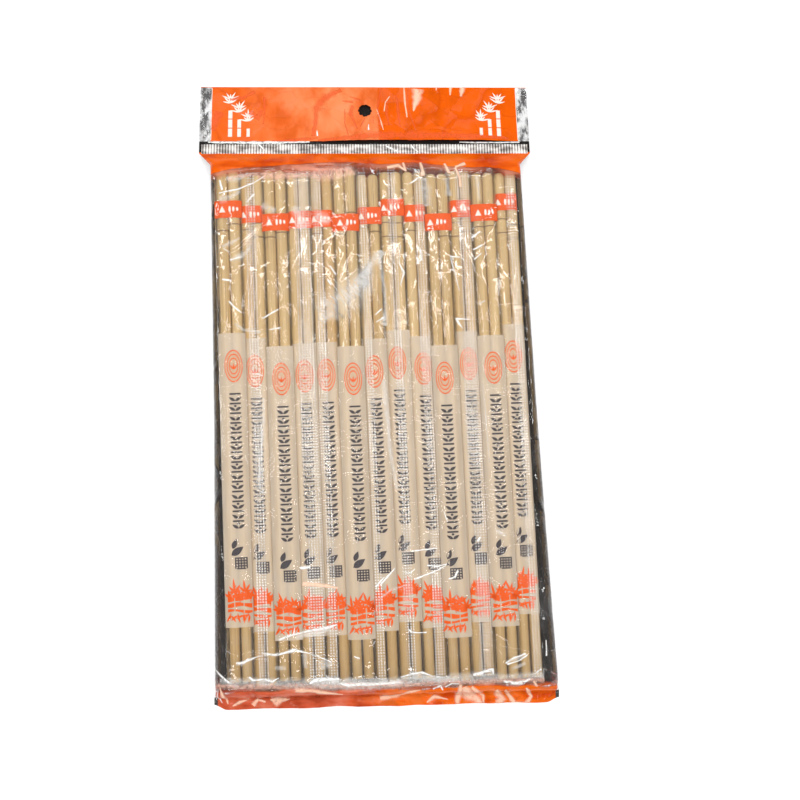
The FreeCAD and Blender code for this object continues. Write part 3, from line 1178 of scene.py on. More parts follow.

# %% [markdown]
# ## The pouch's film and its print
#
# The same clear film shader serves the pouch, with a print mask on top: near the heads and at the foot
# the film is orange, ending in an uneven edge with a painted pink highlight along part of it. The back
# film is nearly black in the margins and brown under the rows, the brown being painted shade for the
# gaps between the sticks. Past the print the neck is near black, painted shadow for the slot under the
# header's edge and for the hang hole. Tight over the frosted panels the film mirrors little, and past
# them it glitters, so its gloss varies along the pack.

# %% Masks for fields of print
push_reach = 12 * MM


def stretched_vector(tree, vector, amount):
    """The flat coordinates pushed about a little, so that creases curve."""
    pushed = add(tree, "ShaderNodeVectorMath", {0: vector})
    pushed.operation = "ADD"
    tree.links.new(maths(tree, "MULTIPLY", amount, push_reach), pushed.inputs[1])
    return pushed.outputs[0]


def edge_mask(tree, along, wobble, place, soft, beyond=True):
    """1 beyond a place along the pack and 0 before it, with a wobbling edge."""
    moved = maths(tree, "ADD", along, wobble)
    if beyond:
        return ramp_value(tree, moved, place - soft, place + soft, 1.0)
    return ramp_value(tree, moved, place - soft, place + soft, -1.0, 1.0)


def between(tree, value, start, end, soft):
    """1 between two values and 0 outside them."""
    rising = ramp_value(tree, value, start - soft, start + soft, 1.0)
    falling = ramp_value(tree, value, end - soft, end + soft, -1.0, 1.0)
    return maths(tree, "MULTIPLY", rising, falling)


print("mask helpers ready")

# %% Where the pouch is printed
head_print_edge = 102.9 * MM
head_print_end = 110.2 * MM
head_print_sides = 5.5 * MM
foot_print_edge = -134.0 * MM
foot_print_half = 75.6 * MM
back_print_edge = 88.0 * MM
print_end_soft = 0.2 * MM
head_edge_soft = 0.25 * MM
foot_edge_soft = 0.6 * MM
wobble_height = 3.0 * MM
faint_width = 2.4 * MM
faint_share = 0.7
fold_width = 4.6 * MM
fold_across = (-47.0 * MM, -9.0 * MM)


def foot_field(tree, along, reach, wobble):
    """The orange field at the foot weld."""
    at_foot = edge_mask(tree, along, wobble, foot_print_edge, foot_edge_soft, beyond=False)
    return maths(tree, "MULTIPLY", at_foot, maths(tree, "LESS_THAN", reach, foot_print_half))


def head_fields(tree, across, along, reach, wobble, head_edge, print_half):
    """The orange field above the heads, and beside it the faint edge and a fold, both coloured with a
    painted pink highlight.
    """
    side = maths(tree, "POWER", maths(tree, "MULTIPLY", reach, 1 / (70 * MM)), 4.0)
    dipped = maths(tree, "ADD", wobble, maths(tree, "MULTIPLY", side, head_print_sides))
    below_end = ramp_value(tree, along, head_print_end, head_print_end + print_end_soft, -1.0, 1.0)
    on_head = maths(tree, "MULTIPLY", below_end, maths(tree, "LESS_THAN", reach, print_half))
    field = maths(tree, "MULTIPLY", edge_mask(tree, along, dipped, head_edge, head_edge_soft), on_head)
    beside = between(tree, maths(tree, "ADD", along, wobble), head_edge - fold_width, head_edge, 0.8 * MM)
    fold = maths(tree, "MULTIPLY", between(tree, across, *fold_across, 6 * MM), beside)
    faded = edge_mask(tree, along, dipped, head_edge - faint_width, 1.2 * MM)
    faded = maths(tree, "MULTIPLY", faded, faint_share)
    return field, maths(tree, "MULTIPLY", maths(tree, "MAXIMUM", faded, fold), on_head)


print("print on the neck side in mm:", round((head_print_end - head_print_edge) / MM, 1))

# %% The inks, creases and gloss of the pouch
# The smoky back film's colour, which also serves as painted shadow on the neck.
smoke_and_neck_shade = (0.018, 0.015, 0.014)
# Brown under the rows: painted shade for the gaps between the sticks, on the back film seen through them.
gap_shade_brown = (0.16, 0.085, 0.035)
# Painted pink highlight, for a fold of film beside the print's edge that catches the light.
fold_highlight_pink = (0.90, 0.42, 0.30)
head_inks = ((0.32, (0.60, 0.055, 0.001)), (0.5, (0.86, 0.12, 0.002)), (0.75, (0.92, 0.20, 0.02)))
foot_inks = ((0.36, (0.66, 0.07, 0.003)), (0.48, (0.90, 0.15, 0.006)), (0.7, (0.95, 0.24, 0.06)))
foot_reds = ((0.36, (0.44, 0.06, 0.02)), (0.5, (0.66, 0.11, 0.045)), (0.7, (0.80, 0.24, 0.14)))
red_fades = (-22 * MM, 6 * MM)
panels_below_middle = 40 * MM
panels_reach = (68 * MM, 90 * MM)
margins_start = (68 * MM, 72 * MM)
calm_share = 0.12
margin_share = 1.1


def pouch_ink(tree, across, thin, at_foot):
    """Orange ink that is paler where it lies thin, and redder at the left of the foot."""
    foot_orange = ramp(tree, thin, foot_inks)
    foot_red = ramp(tree, thin, foot_reds)
    foot_colour = blend_colours(tree, ramp_value(tree, across, *red_fades, 1.0), foot_red, foot_orange)
    return blend_colours(tree, at_foot, ramp(tree, thin, head_inks), foot_colour)


def pouch_bump(tree, flat, wander, crinkles, at_foot):
    """Large and small facets with soft ridges among them, and puckers in the foot weld."""
    moved = stretched_vector(tree, flat, wander)
    folds = stretched_noise(tree, moved, (26.0, 17.0, 1.0), 2.0, 0.55)
    off_fold = maths(tree, "ABSOLUTE", maths(tree, "SUBTRACT", folds, 0.5))
    ridge = ramp_value(tree, off_fold, 0.0, 0.03, -0.45 * MM)
    large = facets(tree, moved, (52.0, 30.0), 0.10)
    small = facets(tree, moved, (170.0, 90.0), 0.05)
    puckers = facets(tree, moved, (150.0, 170.0), 0.35)
    height = maths(tree, "ADD", maths(tree, "ADD", large, small), ridge)
    height = maths(tree, "ADD", height, maths(tree, "MULTIPLY", puckers, at_foot))
    return bumped(tree, height, 1.0, bumped(tree, crinkles, crinkle_depth))


def pouch_gloss(tree, along, reach, shine):
    """The share of gloss: calm over the frosted panels, lively past them and in the margins."""
    from_panels = maths(tree, "ABSOLUTE", maths(tree, "ADD", along, panels_below_middle))
    lively = ramp_value(tree, from_panels, *panels_reach, (1 - calm_share) * shine, calm_share * shine)
    margins = ramp_value(tree, reach, *margins_start, margin_share * shine)
    return maths(tree, "MAXIMUM", lively, margins)


print("pouch inks, creases and gloss ready")

# %% The two films of the pouch
# The neck past the print is mostly a near-black diffuse: painted shadow in the slot under the header's
# lower edge and in the hang hole.
neck_shadow_share = 0.85
whole_width = 80 * MM
back_print_half = 69 * MM
pouch_tint = (0.99, 0.985, 0.975)
smoky_tint = (0.30, 0.28, 0.27)
smoky_stops = ((0.84, gap_shade_brown), (0.88, smoke_and_neck_shade))


def printed_film(name, head_edge, print_half, haze_low, haze_span, tint, haze_stops, shine):
    """Film with orange fields at head and foot. Its haze is white, or coloured across the pack."""
    material, tree = new_material(name)
    flat, across, along = flat_coordinates(tree)
    reach = maths(tree, "ABSOLUTE", across)
    wander = stretched_noise(tree, flat, (34.0, 30.0, 1.0), 2.0)
    crinkles = stretched_noise(tree, flat, (110.0, 75.0, 1.0), 4.0, 0.6)
    thin = stretched_noise(tree, flat, (60.0, 140.0, 1.0), 3.0)
    wobble = ramp_value(tree, wander, 0.3, 0.7, wobble_height, -wobble_height / 2)
    at_foot = foot_field(tree, along, reach, wobble)
    at_head, faint = head_fields(tree, across, along, reach, wobble, head_edge, print_half)
    faint = maths(tree, "MULTIPLY", faint, ramp_value(tree, thin, 0.36, 0.56, 0.6, 0.15))
    bump = pouch_bump(tree, flat, wander, crinkles, at_foot)
    haze = ramp_value(tree, crinkles, 0.52, 0.8, haze_span, haze_low)
    gloss = pouch_gloss(tree, along, reach, shine)
    haze_colour = white
    if haze_stops:
        haze_colour = ramp(tree, maths(tree, "MULTIPLY", reach, 1 / whole_width), haze_stops)
    clear = film_shader(tree, haze, tint, bump, haze_colour, gloss, 0.03)
    shade = pouch_ink(tree, across, thin, at_foot)
    # The faint edge is partly print thinning out and partly painted pink highlight; along the fold it is
    # painted highlight.
    shade = blend_colours(tree, maths(tree, "SUBTRACT", faint, at_head), shade, fold_highlight_pink)
    printed = maths(tree, "MAXIMUM", maths(tree, "MAXIMUM", at_head, at_foot), faint)
    ink = coated(tree, shade, bump, 0.12, 0.09)
    both = add(tree, "ShaderNodeMixShader", {0: printed, 1: clear, 2: ink})
    # Painted shadow: past the end of the print the neck turns near black.
    dark = add(tree, "ShaderNodeBsdfDiffuse", values={"Color": (*smoke_and_neck_shade, 1.0)})
    on_neck = ramp_value(tree, along, head_print_end, head_print_end + print_end_soft, neck_shadow_share)
    whole = add(tree, "ShaderNodeMixShader", {0: on_neck, 1: both.outputs[0], 2: dark.outputs[0]})
    finish_with(tree, whole.outputs[0])
    return material


pouch_film = printed_film("pouch_film", head_print_edge, whole_width, 0.008, 0.07, pouch_tint, None, 1.0)
back_film_smoky = printed_film(
    "smoky_back_film", back_print_edge, back_print_half, 0.95, 0.03, smoky_tint, smoky_stops, 0.7
)
print("pouch film nodes:", len(pouch_film.node_tree.nodes))

# %% [markdown]
# ## Painted highlights, reflections and fold shade
#
# Glints on sharp creases, patches where a flat of film mirrors the room, peach and pink glints on the
# orange print, and the shade in the header's folds are painted on as colour. They are laid on the film
# as thin strips with feathered edges, each from a short list of points with a half width, so they sit
# where the real pack has them. Across a strip its flat coordinates run from -1 to 1, which is what the
# feathering is worked out from.

# %% Materials of the gleams
def gleam_material(name, colour, strength, broken_from=0.36, broken_to=0.5, roughness=0.3):
    """A feathered patch of painted highlight, reflection or shade on the film, broken up a little along
    its length.
    """
    material, tree = new_material(name)
    flat, across, _ = flat_coordinates(tree)
    feather = ramp_value(tree, maths(tree, "ABSOLUTE", across), 0.3, 1.0, -1.0, 1.0)
    broken = stretched_noise(tree, flat, (1.3, 330.0, 1.0), 3.0, 0.6)
    solid = ramp_value(tree, broken, broken_from, broken_to, strength * 0.75, strength * 0.25)
    values = {"Base Color": (*colour, 1.0), "Roughness": roughness}
    shape = add(tree, "ShaderNodeBsdfPrincipled", values=values)
    clear = add(tree, "ShaderNodeBsdfTransparent", values={"Color": (*white, 1.0)})
    shown = maths(tree, "MULTIPLY", feather, solid)
    mixed = add(tree, "ShaderNodeMixShader", {0: shown, 1: clear.outputs[0], 2: shape.outputs[0]})
    finish_with(tree, let_light_in(tree, mixed.outputs[0], white))
    return material


# Both the pouch and the header have three finishes of their own first: WELD is the pouch's third
WELD, CREASE_HIGHLIGHT, REFLECTION_VEIL, PEACH_GLEAM, PINK_FOLD_HIGHLIGHT, FOLD_SHADE = range(2, 8)
# Painted highlights on creases, painted reflections on the film, painted pink highlights on folds and
# painted shade in folds; the peach gleams are painted glints on the orange print.
gleam_materials = [
    gleam_material("painted_crease_highlight", (0.97, 0.96, 0.93), 1.0),
    gleam_material("painted_film_reflection", (0.92, 0.89, 0.84), 0.36, 0.2, 0.6),
    gleam_material("peach_gleam", (0.96, 0.60, 0.42), 0.95, 0.2, 0.45),
    gleam_material("painted_pink_fold_highlight", (0.90, 0.50, 0.38), 0.62, 0.3, 0.6),
    gleam_material("painted_fold_shade", (0.78, 0.085, 0.0005), 0.8, 0.2, 0.5, 0.6),
]
print("gleam materials:", len(gleam_materials))


# %% A feathered strip along a path
crease_widening = 1.3
veil_widening = 1.8
raggedness = 0.5
gleam_wander = 0.35


def gleam_samples(path):
    """Points about one millimetre apart along a path of (across, along, half width) in mm."""
    samples = []
    for near, far in zip(path, path[1:]):
        count = max(3, math.ceil(math.hypot(far[0] - near[0], far[1] - near[1])) + 1)
        samples += [[a + (b - a) * t for a, b in zip(near, far)] for t in spread(0.0, 1.0, count)[:-1]]
    return samples + [list(path[-1])]


def gleam(skin, path, finish, place):
    """Lays a strip on a film. place turns a position in metres into a point just above the film."""
    widened = crease_widening if finish == CREASE_HIGHLIGHT else veil_widening
    samples = gleam_samples(path)
    widest = max(point[2] for point in path)
    columns = spread(-1.0, 1.0, max(5, 2 * math.ceil(widest / 0.8) + 1))
    travelled = 0.0
    rows = []
    flat = []
    for i, (x, y, half) in enumerate(samples):
        before = samples[max(i - 1, 0)]
        after = samples[min(i + 1, len(samples) - 1)]
        ahead = Vector((after[0] - before[0], after[1] - before[1])).normalized()
        travelled += math.hypot(x - before[0], y - before[1])
        ragged = widened * half * (1 + raggedness * noise.noise(Vector((x / 2.1, y / 2.1, 5.5))))
        aside = gleam_wander * min(half, 1.0) * noise.noise(Vector((x / 3.3, y / 3.3, 1.5)))
        offsets = [side * ragged + aside for side in columns]
        rows.append([place((x - o * ahead.y) * MM, (y + o * ahead.x) * MM) for o in offsets])
        flat.append([(side, (travelled + x) * MM) for side in columns])
    skin.grid(rows, flat, finish)


print("gleam helper ready")

# %% Gleams on the pouch
gleam_above = 0.14 * MM
gleam_inset = 0.2 * MM
gleam_reach = 0.995
# Each gleam: its finish, then points across and along the pack with a half width, all in mm
# Painted highlights, painted reflections and painted peach and pink glints, on the pouch's top film.
pouch_gleams = (
    (REFLECTION_VEIL, (-70.0, -129.2, 1.0), (-30.0, -130.8, 1.5), (10.0, -130.6, 1.3), (40.0, -130.0, 1.5),
     (72.0, -129.6, 1.0)),
    (PINK_FOLD_HIGHLIGHT, (-72.0, -131.4, 0.7), (-36.0, -132.4, 1.1), (0.0, -132.4, 0.9), (36.0, -132.0, 1.1),
     (72.0, -131.6, 0.7)),
    (CREASE_HIGHLIGHT, (-76.0, -134.6, 0.4), (-76.4, -136.6, 0.9), (-75.8, -138.4, 0.4)),
    (CREASE_HIGHLIGHT, (78.6, -133.4, 0.4), (79.2, -135.4, 0.8), (78.8, -137.0, 0.4)),
    (CREASE_HIGHLIGHT, (-62.7, -121.7, 0.6), (-60.1, -121.7, 0.7), (-57.4, -120.3, 0.6), (-54.8, -119.3, 0.4),
     (-52.2, -118.6, 0.2)),
    (CREASE_HIGHLIGHT, (-51.2, -117.5, 0.2), (-46.4, -118.4, 0.6), (-42.2, -117.7, 0.5), (-38.0, -116.5, 0.7),
     (-32.7, -117.4, 0.3), (-26.9, -119.4, 0.2), (-21.6, -121.8, 0.2)),
    (REFLECTION_VEIL, (-32.7, -117.9, 0.9), (-33.0, -121.0, 1.2), (-32.2, -124.2, 0.7)),
    (REFLECTION_VEIL, (-25.9, -124.3, 0.9), (-23.8, -122.7, 1.6), (-21.2, -121.9, 1.2)),
    (CREASE_HIGHLIGHT, (-44.3, -112.0, 0.4), (-40.0, -110.5, 0.5), (-37.4, -109.7, 0.4), (-31.1, -108.4, 0.6),
     (-24.2, -107.4, 0.7), (-18.8, -105.9, 0.3)),
    (REFLECTION_VEIL, (-36.9, -110.6, 0.9), (-31.1, -109.9, 1.2), (-21.5, -107.7, 0.7)),
    (CREASE_HIGHLIGHT, (-37.4, -106.9, 0.3), (-37.7, -109.7, 0.4)),
    (CREASE_HIGHLIGHT, (-57.2, -127.5, 0.4), (-55.4, -129.1, 0.4), (-51.2, -128.7, 0.3), (-47.0, -129.6, 0.5),
     (-44.3, -128.1, 0.2)),
    (REFLECTION_VEIL, (-46.0, -123.9, 0.7), (-41.2, -124.2, 0.7)),
    (CREASE_HIGHLIGHT, (-30.9, -130.9, 0.4), (-29.1, -129.6, 0.9), (-25.4, -129.0, 0.8), (-21.7, -129.3, 0.7),
     (-18.0, -129.4, 0.7)),
    (REFLECTION_VEIL, (-29.9, -130.7, 0.9), (-24.3, -131.2, 1.9), (-18.0, -131.8, 2.1), (-10.1, -132.7, 1.6),
     (4.9, -132.3, 1.6), (9.2, -130.7, 0.7)),
    (CREASE_HIGHLIGHT, (-17.5, -130.9, 0.5), (-13.9, -132.1, 0.8), (-4.8, -131.7, 0.7), (4.0, -131.5, 0.6),
     (8.4, -130.9, 0.3)),
    (CREASE_HIGHLIGHT, (-11.6, -119.7, 0.4), (-9.2, -120.8, 0.5)),
    (PEACH_GLEAM, (-65.6, -142.2, 0.2), (-62.3, -140.4, 0.6), (-58.1, -138.7, 0.3)),
    (PEACH_GLEAM, (-56.6, -142.2, 0.9), (-54.3, -139.6, 0.7), (-51.1, -141.0, 0.4)),
    (PEACH_GLEAM, (-48.9, -139.5, 0.5), (-46.0, -140.1, 1.6), (-40.1, -139.2, 0.2)),
    (PEACH_GLEAM, (-70.0, -131.9, 0.2), (-68.6, -136.9, 0.7), (-67.7, -141.3, 0.2)),
    (PEACH_GLEAM, (-37.1, -133.7, 0.7), (-31.4, -134.1, 0.7), (-24.5, -135.3, 0.6), (-16.6, -136.5, 0.2)),
    (CREASE_HIGHLIGHT, (-72.7, -123.8, 0.3), (-70.0, -126.4, 0.5), (-65.9, -129.9, 0.4)),
    (REFLECTION_VEIL, (-65.9, -129.9, 0.7), (-61.6, -131.8, 0.4)),
    (CREASE_HIGHLIGHT, (-72.7, -128.4, 0.4), (-73.5, -133.7, 0.5), (-73.8, -138.8, 0.4)),
    (CREASE_HIGHLIGHT, (-71.0, -133.2, 0.2), (-71.6, -138.9, 0.4), (-70.3, -141.5, 0.2)),
    (CREASE_HIGHLIGHT, (8.7, -129.0, 0.2), (13.5, -127.7, 0.6), (18.3, -127.3, 0.5), (23.0, -129.0, 0.2)),
    (REFLECTION_VEIL, (9.3, -129.4, 0.7), (16.3, -128.7, 1.4), (24.2, -130.2, 0.9), (34.7, -130.4, 0.5)),
    (CREASE_HIGHLIGHT, (12.3, -108.2, 0.2), (13.8, -109.8, 0.4), (17.0, -110.1, 0.3), (20.5, -110.0, 0.3)),
    (CREASE_HIGHLIGHT, (40.6, -128.8, 0.5), (44.4, -128.2, 0.7), (46.1, -126.9, 0.5)),
    (CREASE_HIGHLIGHT, (45.8, -127.6, 0.7), (49.2, -126.7, 0.9), (49.3, -128.6, 0.5)),
    (CREASE_HIGHLIGHT, (55.0, -124.2, 0.3), (58.5, -122.0, 0.3), (63.9, -120.0, 0.4)),
    (CREASE_HIGHLIGHT, (64.7, -120.7, 0.3), (61.1, -123.1, 0.2), (55.7, -124.5, 0.4)),
    (REFLECTION_VEIL, (55.6, -124.0, 0.7), (60.1, -121.9, 0.9), (64.1, -120.3, 0.5)),
    (REFLECTION_VEIL, (57.8, -126.6, 0.5), (63.8, -124.2, 0.5)),
    (CREASE_HIGHLIGHT, (53.9, -131.9, 0.5), (58.2, -132.7, 0.8), (62.5, -132.7, 0.9), (65.7, -131.0, 0.4)),
    (PEACH_GLEAM, (34.3, -145.9, 0.4), (35.1, -139.4, 1.2), (35.0, -132.9, 0.4)),
    (PEACH_GLEAM, (36.4, -134.3, 1.2), (39.1, -138.8, 1.9), (43.4, -142.0, 1.4), (47.1, -146.6, 0.5)),
    (PEACH_GLEAM, (39.9, -134.1, 0.7), (46.1, -140.3, 0.6), (46.5, -145.5, 0.4)),
    (PEACH_GLEAM, (51.0, -135.9, 0.5), (54.2, -142.2, 1.4), (51.4, -146.1, 0.7)),
    (PEACH_GLEAM, (54.8, -136.0, 0.4), (58.7, -141.6, 0.7), (60.2, -144.6, 0.7), (65.2, -144.6, 0.8),
     (68.0, -140.8, 0.7), (64.2, -135.3, 0.5)),
    (PEACH_GLEAM, (67.3, -132.0, 0.5), (68.9, -134.7, 0.4)),
    (PEACH_GLEAM, (-0.1, -140.1, 0.9), (7.9, -138.7, 0.9), (13.0, -136.0, 0.5), (17.3, -135.0, 0.2)),
    (PEACH_GLEAM, (20.9, -142.7, 0.3), (24.3, -139.8, 0.7), (30.3, -141.5, 0.2)),
    (CREASE_HIGHLIGHT, (22.9, -134.7, 0.4), (26.2, -133.2, 0.5), (27.4, -135.4, 0.3)),
    (CREASE_HIGHLIGHT, (28.3, -133.8, 0.3), (31.0, -132.3, 0.3), (34.3, -132.5, 0.2)),
    (CREASE_HIGHLIGHT, (68.5, -128.4, 0.4), (70.8, -126.9, 0.5)),
    (CREASE_HIGHLIGHT, (73.2, -114.4, 0.2), (73.2, -121.3, 0.3)),
    (PINK_FOLD_HIGHLIGHT, (-52.9, 95.8, 0.7), (-49.2, 96.5, 1.4), (-40.6, 96.5, 1.4), (-31.4, 96.7, 1.2),
     (-24.6, 97.0, 1.9), (-17.7, 97.7, 2.3), (-11.8, 98.8, 2.3), (-8.6, 97.4, 0.5)),
    (PINK_FOLD_HIGHLIGHT, (-66.5, 95.2, 0.5), (-61.0, 96.6, 0.7), (-53.8, 97.5, 0.6), (-48.3, 97.7, 0.4)),
    (CREASE_HIGHLIGHT, (-70.6, 88.5, 0.4), (-61.3, 90.6, 0.4), (-55.0, 93.3, 0.3), (-49.8, 96.5, 0.2)),
    (CREASE_HIGHLIGHT, (-70.3, 94.7, 0.5), (-69.2, 90.0, 0.5)),
    (REFLECTION_VEIL, (-67.4, 95.6, 0.7), (-62.8, 94.7, 1.2), (-59.2, 96.6, 0.7)),
    (REFLECTION_VEIL, (-70.5, 85.3, 1.2), (-65.1, 86.7, 0.9), (-61.0, 89.5, 0.7)),
    (CREASE_HIGHLIGHT, (-58.3, 84.1, 0.2), (-54.5, 88.4, 0.5)),
    (REFLECTION_VEIL, (-69.1, 63.5, 0.7), (-64.9, 65.5, 0.8), (-61.3, 67.6, 0.4)),
    (CREASE_HIGHLIGHT, (-68.5, 62.8, 0.2), (-66.2, 61.3, 0.2)),
    (REFLECTION_VEIL, (-65.7, 57.5, 0.7), (-59.7, 59.6, 1.1), (-55.6, 63.9, 0.5)),
    (CREASE_HIGHLIGHT, (-65.5, 57.5, 0.2), (-60.6, 58.8, 0.3)),
    (CREASE_HIGHLIGHT, (-66.0, 38.6, 0.3), (-63.4, 35.4, 0.5), (-60.3, 33.2, 0.2)),
    (CREASE_HIGHLIGHT, (-69.1, 48.7, 0.4), (-64.9, 48.0, 0.5)),
    (REFLECTION_VEIL, (-63.4, 28.1, 0.6), (-59.3, 25.3, 0.7), (-51.7, 24.3, 0.5)),
    (REFLECTION_VEIL, (-51.1, 83.4, 1.2), (-48.4, 81.5, 1.6), (-44.7, 80.1, 1.2)),
    (REFLECTION_VEIL, (-35.6, 82.4, 1.9), (-34.3, 77.8, 2.3), (-31.6, 72.1, 1.4)),
    (REFLECTION_VEIL, (-26.6, 78.2, 1.6), (-23.4, 76.3, 2.1), (-20.2, 74.9, 1.2)),
    (REFLECTION_VEIL, (-24.3, 28.7, 1.2), (-20.1, 36.0, 5.2), (-12.4, 41.0, 5.6), (-6.9, 46.0, 3.8),
     (-1.8, 55.7, 1.9), (3.3, 61.3, 0.7)),
    (REFLECTION_VEIL, (-13.3, 38.7, 1.4), (-6.0, 47.4, 1.9), (-1.3, 56.2, 0.9)),
    (CREASE_HIGHLIGHT, (-21.5, 48.3, 0.4), (-19.9, 45.7, 0.4)),
    (CREASE_HIGHLIGHT, (-20.4, 54.6, 0.3), (-17.8, 50.4, 0.4)),
    (CREASE_HIGHLIGHT, (-0.3, 31.7, 0.2), (2.8, 34.4, 0.4)),
    (CREASE_HIGHLIGHT, (0.1, 28.5, 0.2), (3.8, 30.6, 0.4)),
    (CREASE_HIGHLIGHT, (-51.0, 30.5, 0.3), (-43.8, 34.7, 0.4)),
    (CREASE_HIGHLIGHT, (-47.9, 25.3, 0.3), (-42.8, 26.3, 0.4)),
    (PEACH_GLEAM, (6.2, 100.5, 0.6), (11.3, 101.6, 0.7), (15.1, 98.7, 0.3)),
    (PEACH_GLEAM, (13.7, 103.4, 0.4), (14.5, 99.0, 0.4)),
    (PEACH_GLEAM, (21.6, 103.4, 0.5), (22.8, 96.5, 0.7)),
    (PEACH_GLEAM, (32.8, 102.8, 0.4), (34.6, 97.7, 0.6)),
    (PEACH_GLEAM, (37.7, 100.8, 0.6), (42.4, 102.8, 0.6)),
    (PEACH_GLEAM, (37.6, 100.4, 0.4), (39.6, 95.4, 0.4), (40.1, 91.3, 0.7)),
    (CREASE_HIGHLIGHT, (16.1, 92.6, 0.3), (20.6, 95.5, 0.4)),
    (REFLECTION_VEIL, (23.1, 95.5, 1.4), (24.3, 82.2, 1.6)),
    (REFLECTION_VEIL, (33.3, 95.4, 0.9), (34.5, 86.9, 0.9)),
    (REFLECTION_VEIL, (47.6, 96.4, 0.7), (48.3, 85.0, 0.7)),
    (CREASE_HIGHLIGHT, (44.5, 67.3, 0.4), (48.5, 70.2, 0.5)),
    (CREASE_HIGHLIGHT, (45.0, 61.7, 0.4), (49.5, 63.9, 0.5)),
    (CREASE_HIGHLIGHT, (45.3, 57.1, 0.3), (48.8, 60.0, 0.4)),
    (CREASE_HIGHLIGHT, (47.1, 36.4, 0.2), (49.9, 38.0, 0.3)),
    (CREASE_HIGHLIGHT, (34.3, 58.5, 0.4), (38.8, 58.3, 0.3)),
    (CREASE_HIGHLIGHT, (34.6, 57.8, 0.3), (36.4, 51.0, 0.2), (38.4, 42.5, 0.2)),
    (CREASE_HIGHLIGHT, (36.2, 29.7, 0.6), (42.6, 29.3, 0.2)),
    (CREASE_HIGHLIGHT, (36.8, 29.1, 0.6), (39.4, 25.2, 0.2)),
    (REFLECTION_VEIL, (1.2, 60.6, 0.5), (4.4, 60.6, 0.7), (1.7, 58.5, 0.9), (3.7, 47.4, 0.9), (4.7, 36.0, 0.7),
     (3.9, 26.6, 1.2)),
    (CREASE_HIGHLIGHT, (11.7, 64.1, 0.2), (11.0, 55.7, 0.2), (13.1, 51.1, 0.5), (11.4, 45.5, 0.2)),
    (CREASE_HIGHLIGHT, (18.7, 55.6, 0.2), (21.5, 57.3, 0.5), (20.6, 62.9, 0.2)),
    (CREASE_HIGHLIGHT, (-54.5, 5.7, 0.3), (-50.8, 4.5, 0.3)),
    (REFLECTION_VEIL, (-50.5, -5.5, 0.5), (-50.9, -21.2, 0.6), (-52.0, -31.5, 0.6), (-52.4, -46.2, 0.7)),
    (CREASE_HIGHLIGHT, (-52.0, -47.3, 0.3), (-49.5, -47.7, 0.3)),
    (PEACH_GLEAM, (-33.7, -87.9, 0.8), (-27.1, -88.4, 0.7), (-18.4, -90.0, 0.3)),
    (CREASE_HIGHLIGHT, (-34.7, -81.0, 0.6), (-30.3, -80.7, 0.6)),
    (CREASE_HIGHLIGHT, (-1.6, -89.9, 0.5), (2.1, -85.7, 0.3)),
    (CREASE_HIGHLIGHT, (14.4, -74.6, 0.3), (19.5, -74.0, 0.3), (25.9, -73.4, 0.3)),
    (CREASE_HIGHLIGHT, (10.2, -83.3, 0.2), (13.5, -84.4, 0.3), (15.8, -82.3, 0.2)),
    (CREASE_HIGHLIGHT, (15.3, -87.0, 0.3), (20.8, -84.9, 0.5), (23.8, -83.9, 0.4), (29.7, -81.1, 0.2)),
    (CREASE_HIGHLIGHT, (21.3, -80.9, 0.3), (26.1, -81.4, 0.4), (30.1, -80.4, 0.2)),
    (CREASE_HIGHLIGHT, (30.7, -86.9, 0.4), (33.3, -86.3, 0.7), (34.9, -83.4, 0.5)),
    (CREASE_HIGHLIGHT, (0.3, -89.2, 0.4), (4.0, -85.0, 0.5), (7.0, -81.8, 0.2)),
    (REFLECTION_VEIL, (0.2, -95.0, 0.4), (4.6, -91.5, 0.4), (11.3, -89.4, 0.3)),
    (CREASE_HIGHLIGHT, (9.8, -45.3, 0.2), (11.6, -45.6, 0.2)),
    (CREASE_HIGHLIGHT, (9.7, -50.4, 0.3), (11.9, -50.8, 0.2)),
    (CREASE_HIGHLIGHT, (29.1, -57.0, 0.2), (30.6, -61.8, 0.2)),
    (CREASE_HIGHLIGHT, (44.0, -70.8, 0.6), (45.2, -68.9, 0.4)),
    (REFLECTION_VEIL, (3.0, 2.1, 0.9), (4.0, -9.9, 0.9), (5.6, -27.8, 0.9), (8.3, -47.1, 0.7)),
    (REFLECTION_VEIL, (48.0, 0.1, 0.2), (49.0, -17.9, 0.3), (50.1, -35.8, 0.2)),
    (REFLECTION_VEIL, (52.3, -66.1, 0.7), (56.7, -68.4, 0.5)),
)


def on_pouch(x, y):
    """A point just above the top film."""
    y = max(y, pouch_stations[0][0] * MM + gleam_inset)
    _, _, half, fold = station(y)
    share = (x - middle_x(y)) / (half + fold)
    point = pouch_point(y, min(max(share, -gleam_reach), gleam_reach), True)
    return (point[0], point[1], point[2] + gleam_above)


for finish, *path in pouch_gleams:
    gleam(skin, path, finish, on_pouch)
print("gleams on the pouch:", len(pouch_gleams))

# %% [markdown]
# ## The ribbed weld
#
# Hot jaws with fine teeth close the bag above the heads. They leave a strip of ribs that run along
# the pack and look silver. The ribs are real geometry, rows of points in waves laid on the neck and
# crumpled a little, and the colour follows the same waves: the grooves are darkened with painted
# shade, and the crests are whitened film with a painted highlight.

# %% Ribs
rib_pitch = 1.3 * MM
rib_turns = 2 * math.pi / rib_pitch
rib_height = 0.32 * MM
rib_count = 117
rib_crumple = 0.5 * MM
rib_lines = 7
per_rib = 4
neck_up = 0.62 * MM
# Painted shade darkens the grooves; the crests are whitened film with a painted highlight.
groove_shade_dark = (0.08, 0.07, 0.06)
rib_silver = (0.44, 0.40, 0.37)
crest_white_and_highlight = (0.92, 0.89, 0.86)
neck_fold_y = 143.85 * MM
neck_tilt = math.radians(9.0)
header_middle_x = -3.478 * MM
weld_high = 30.2 * MM
weld_low = weld_high + 4.9 * MM


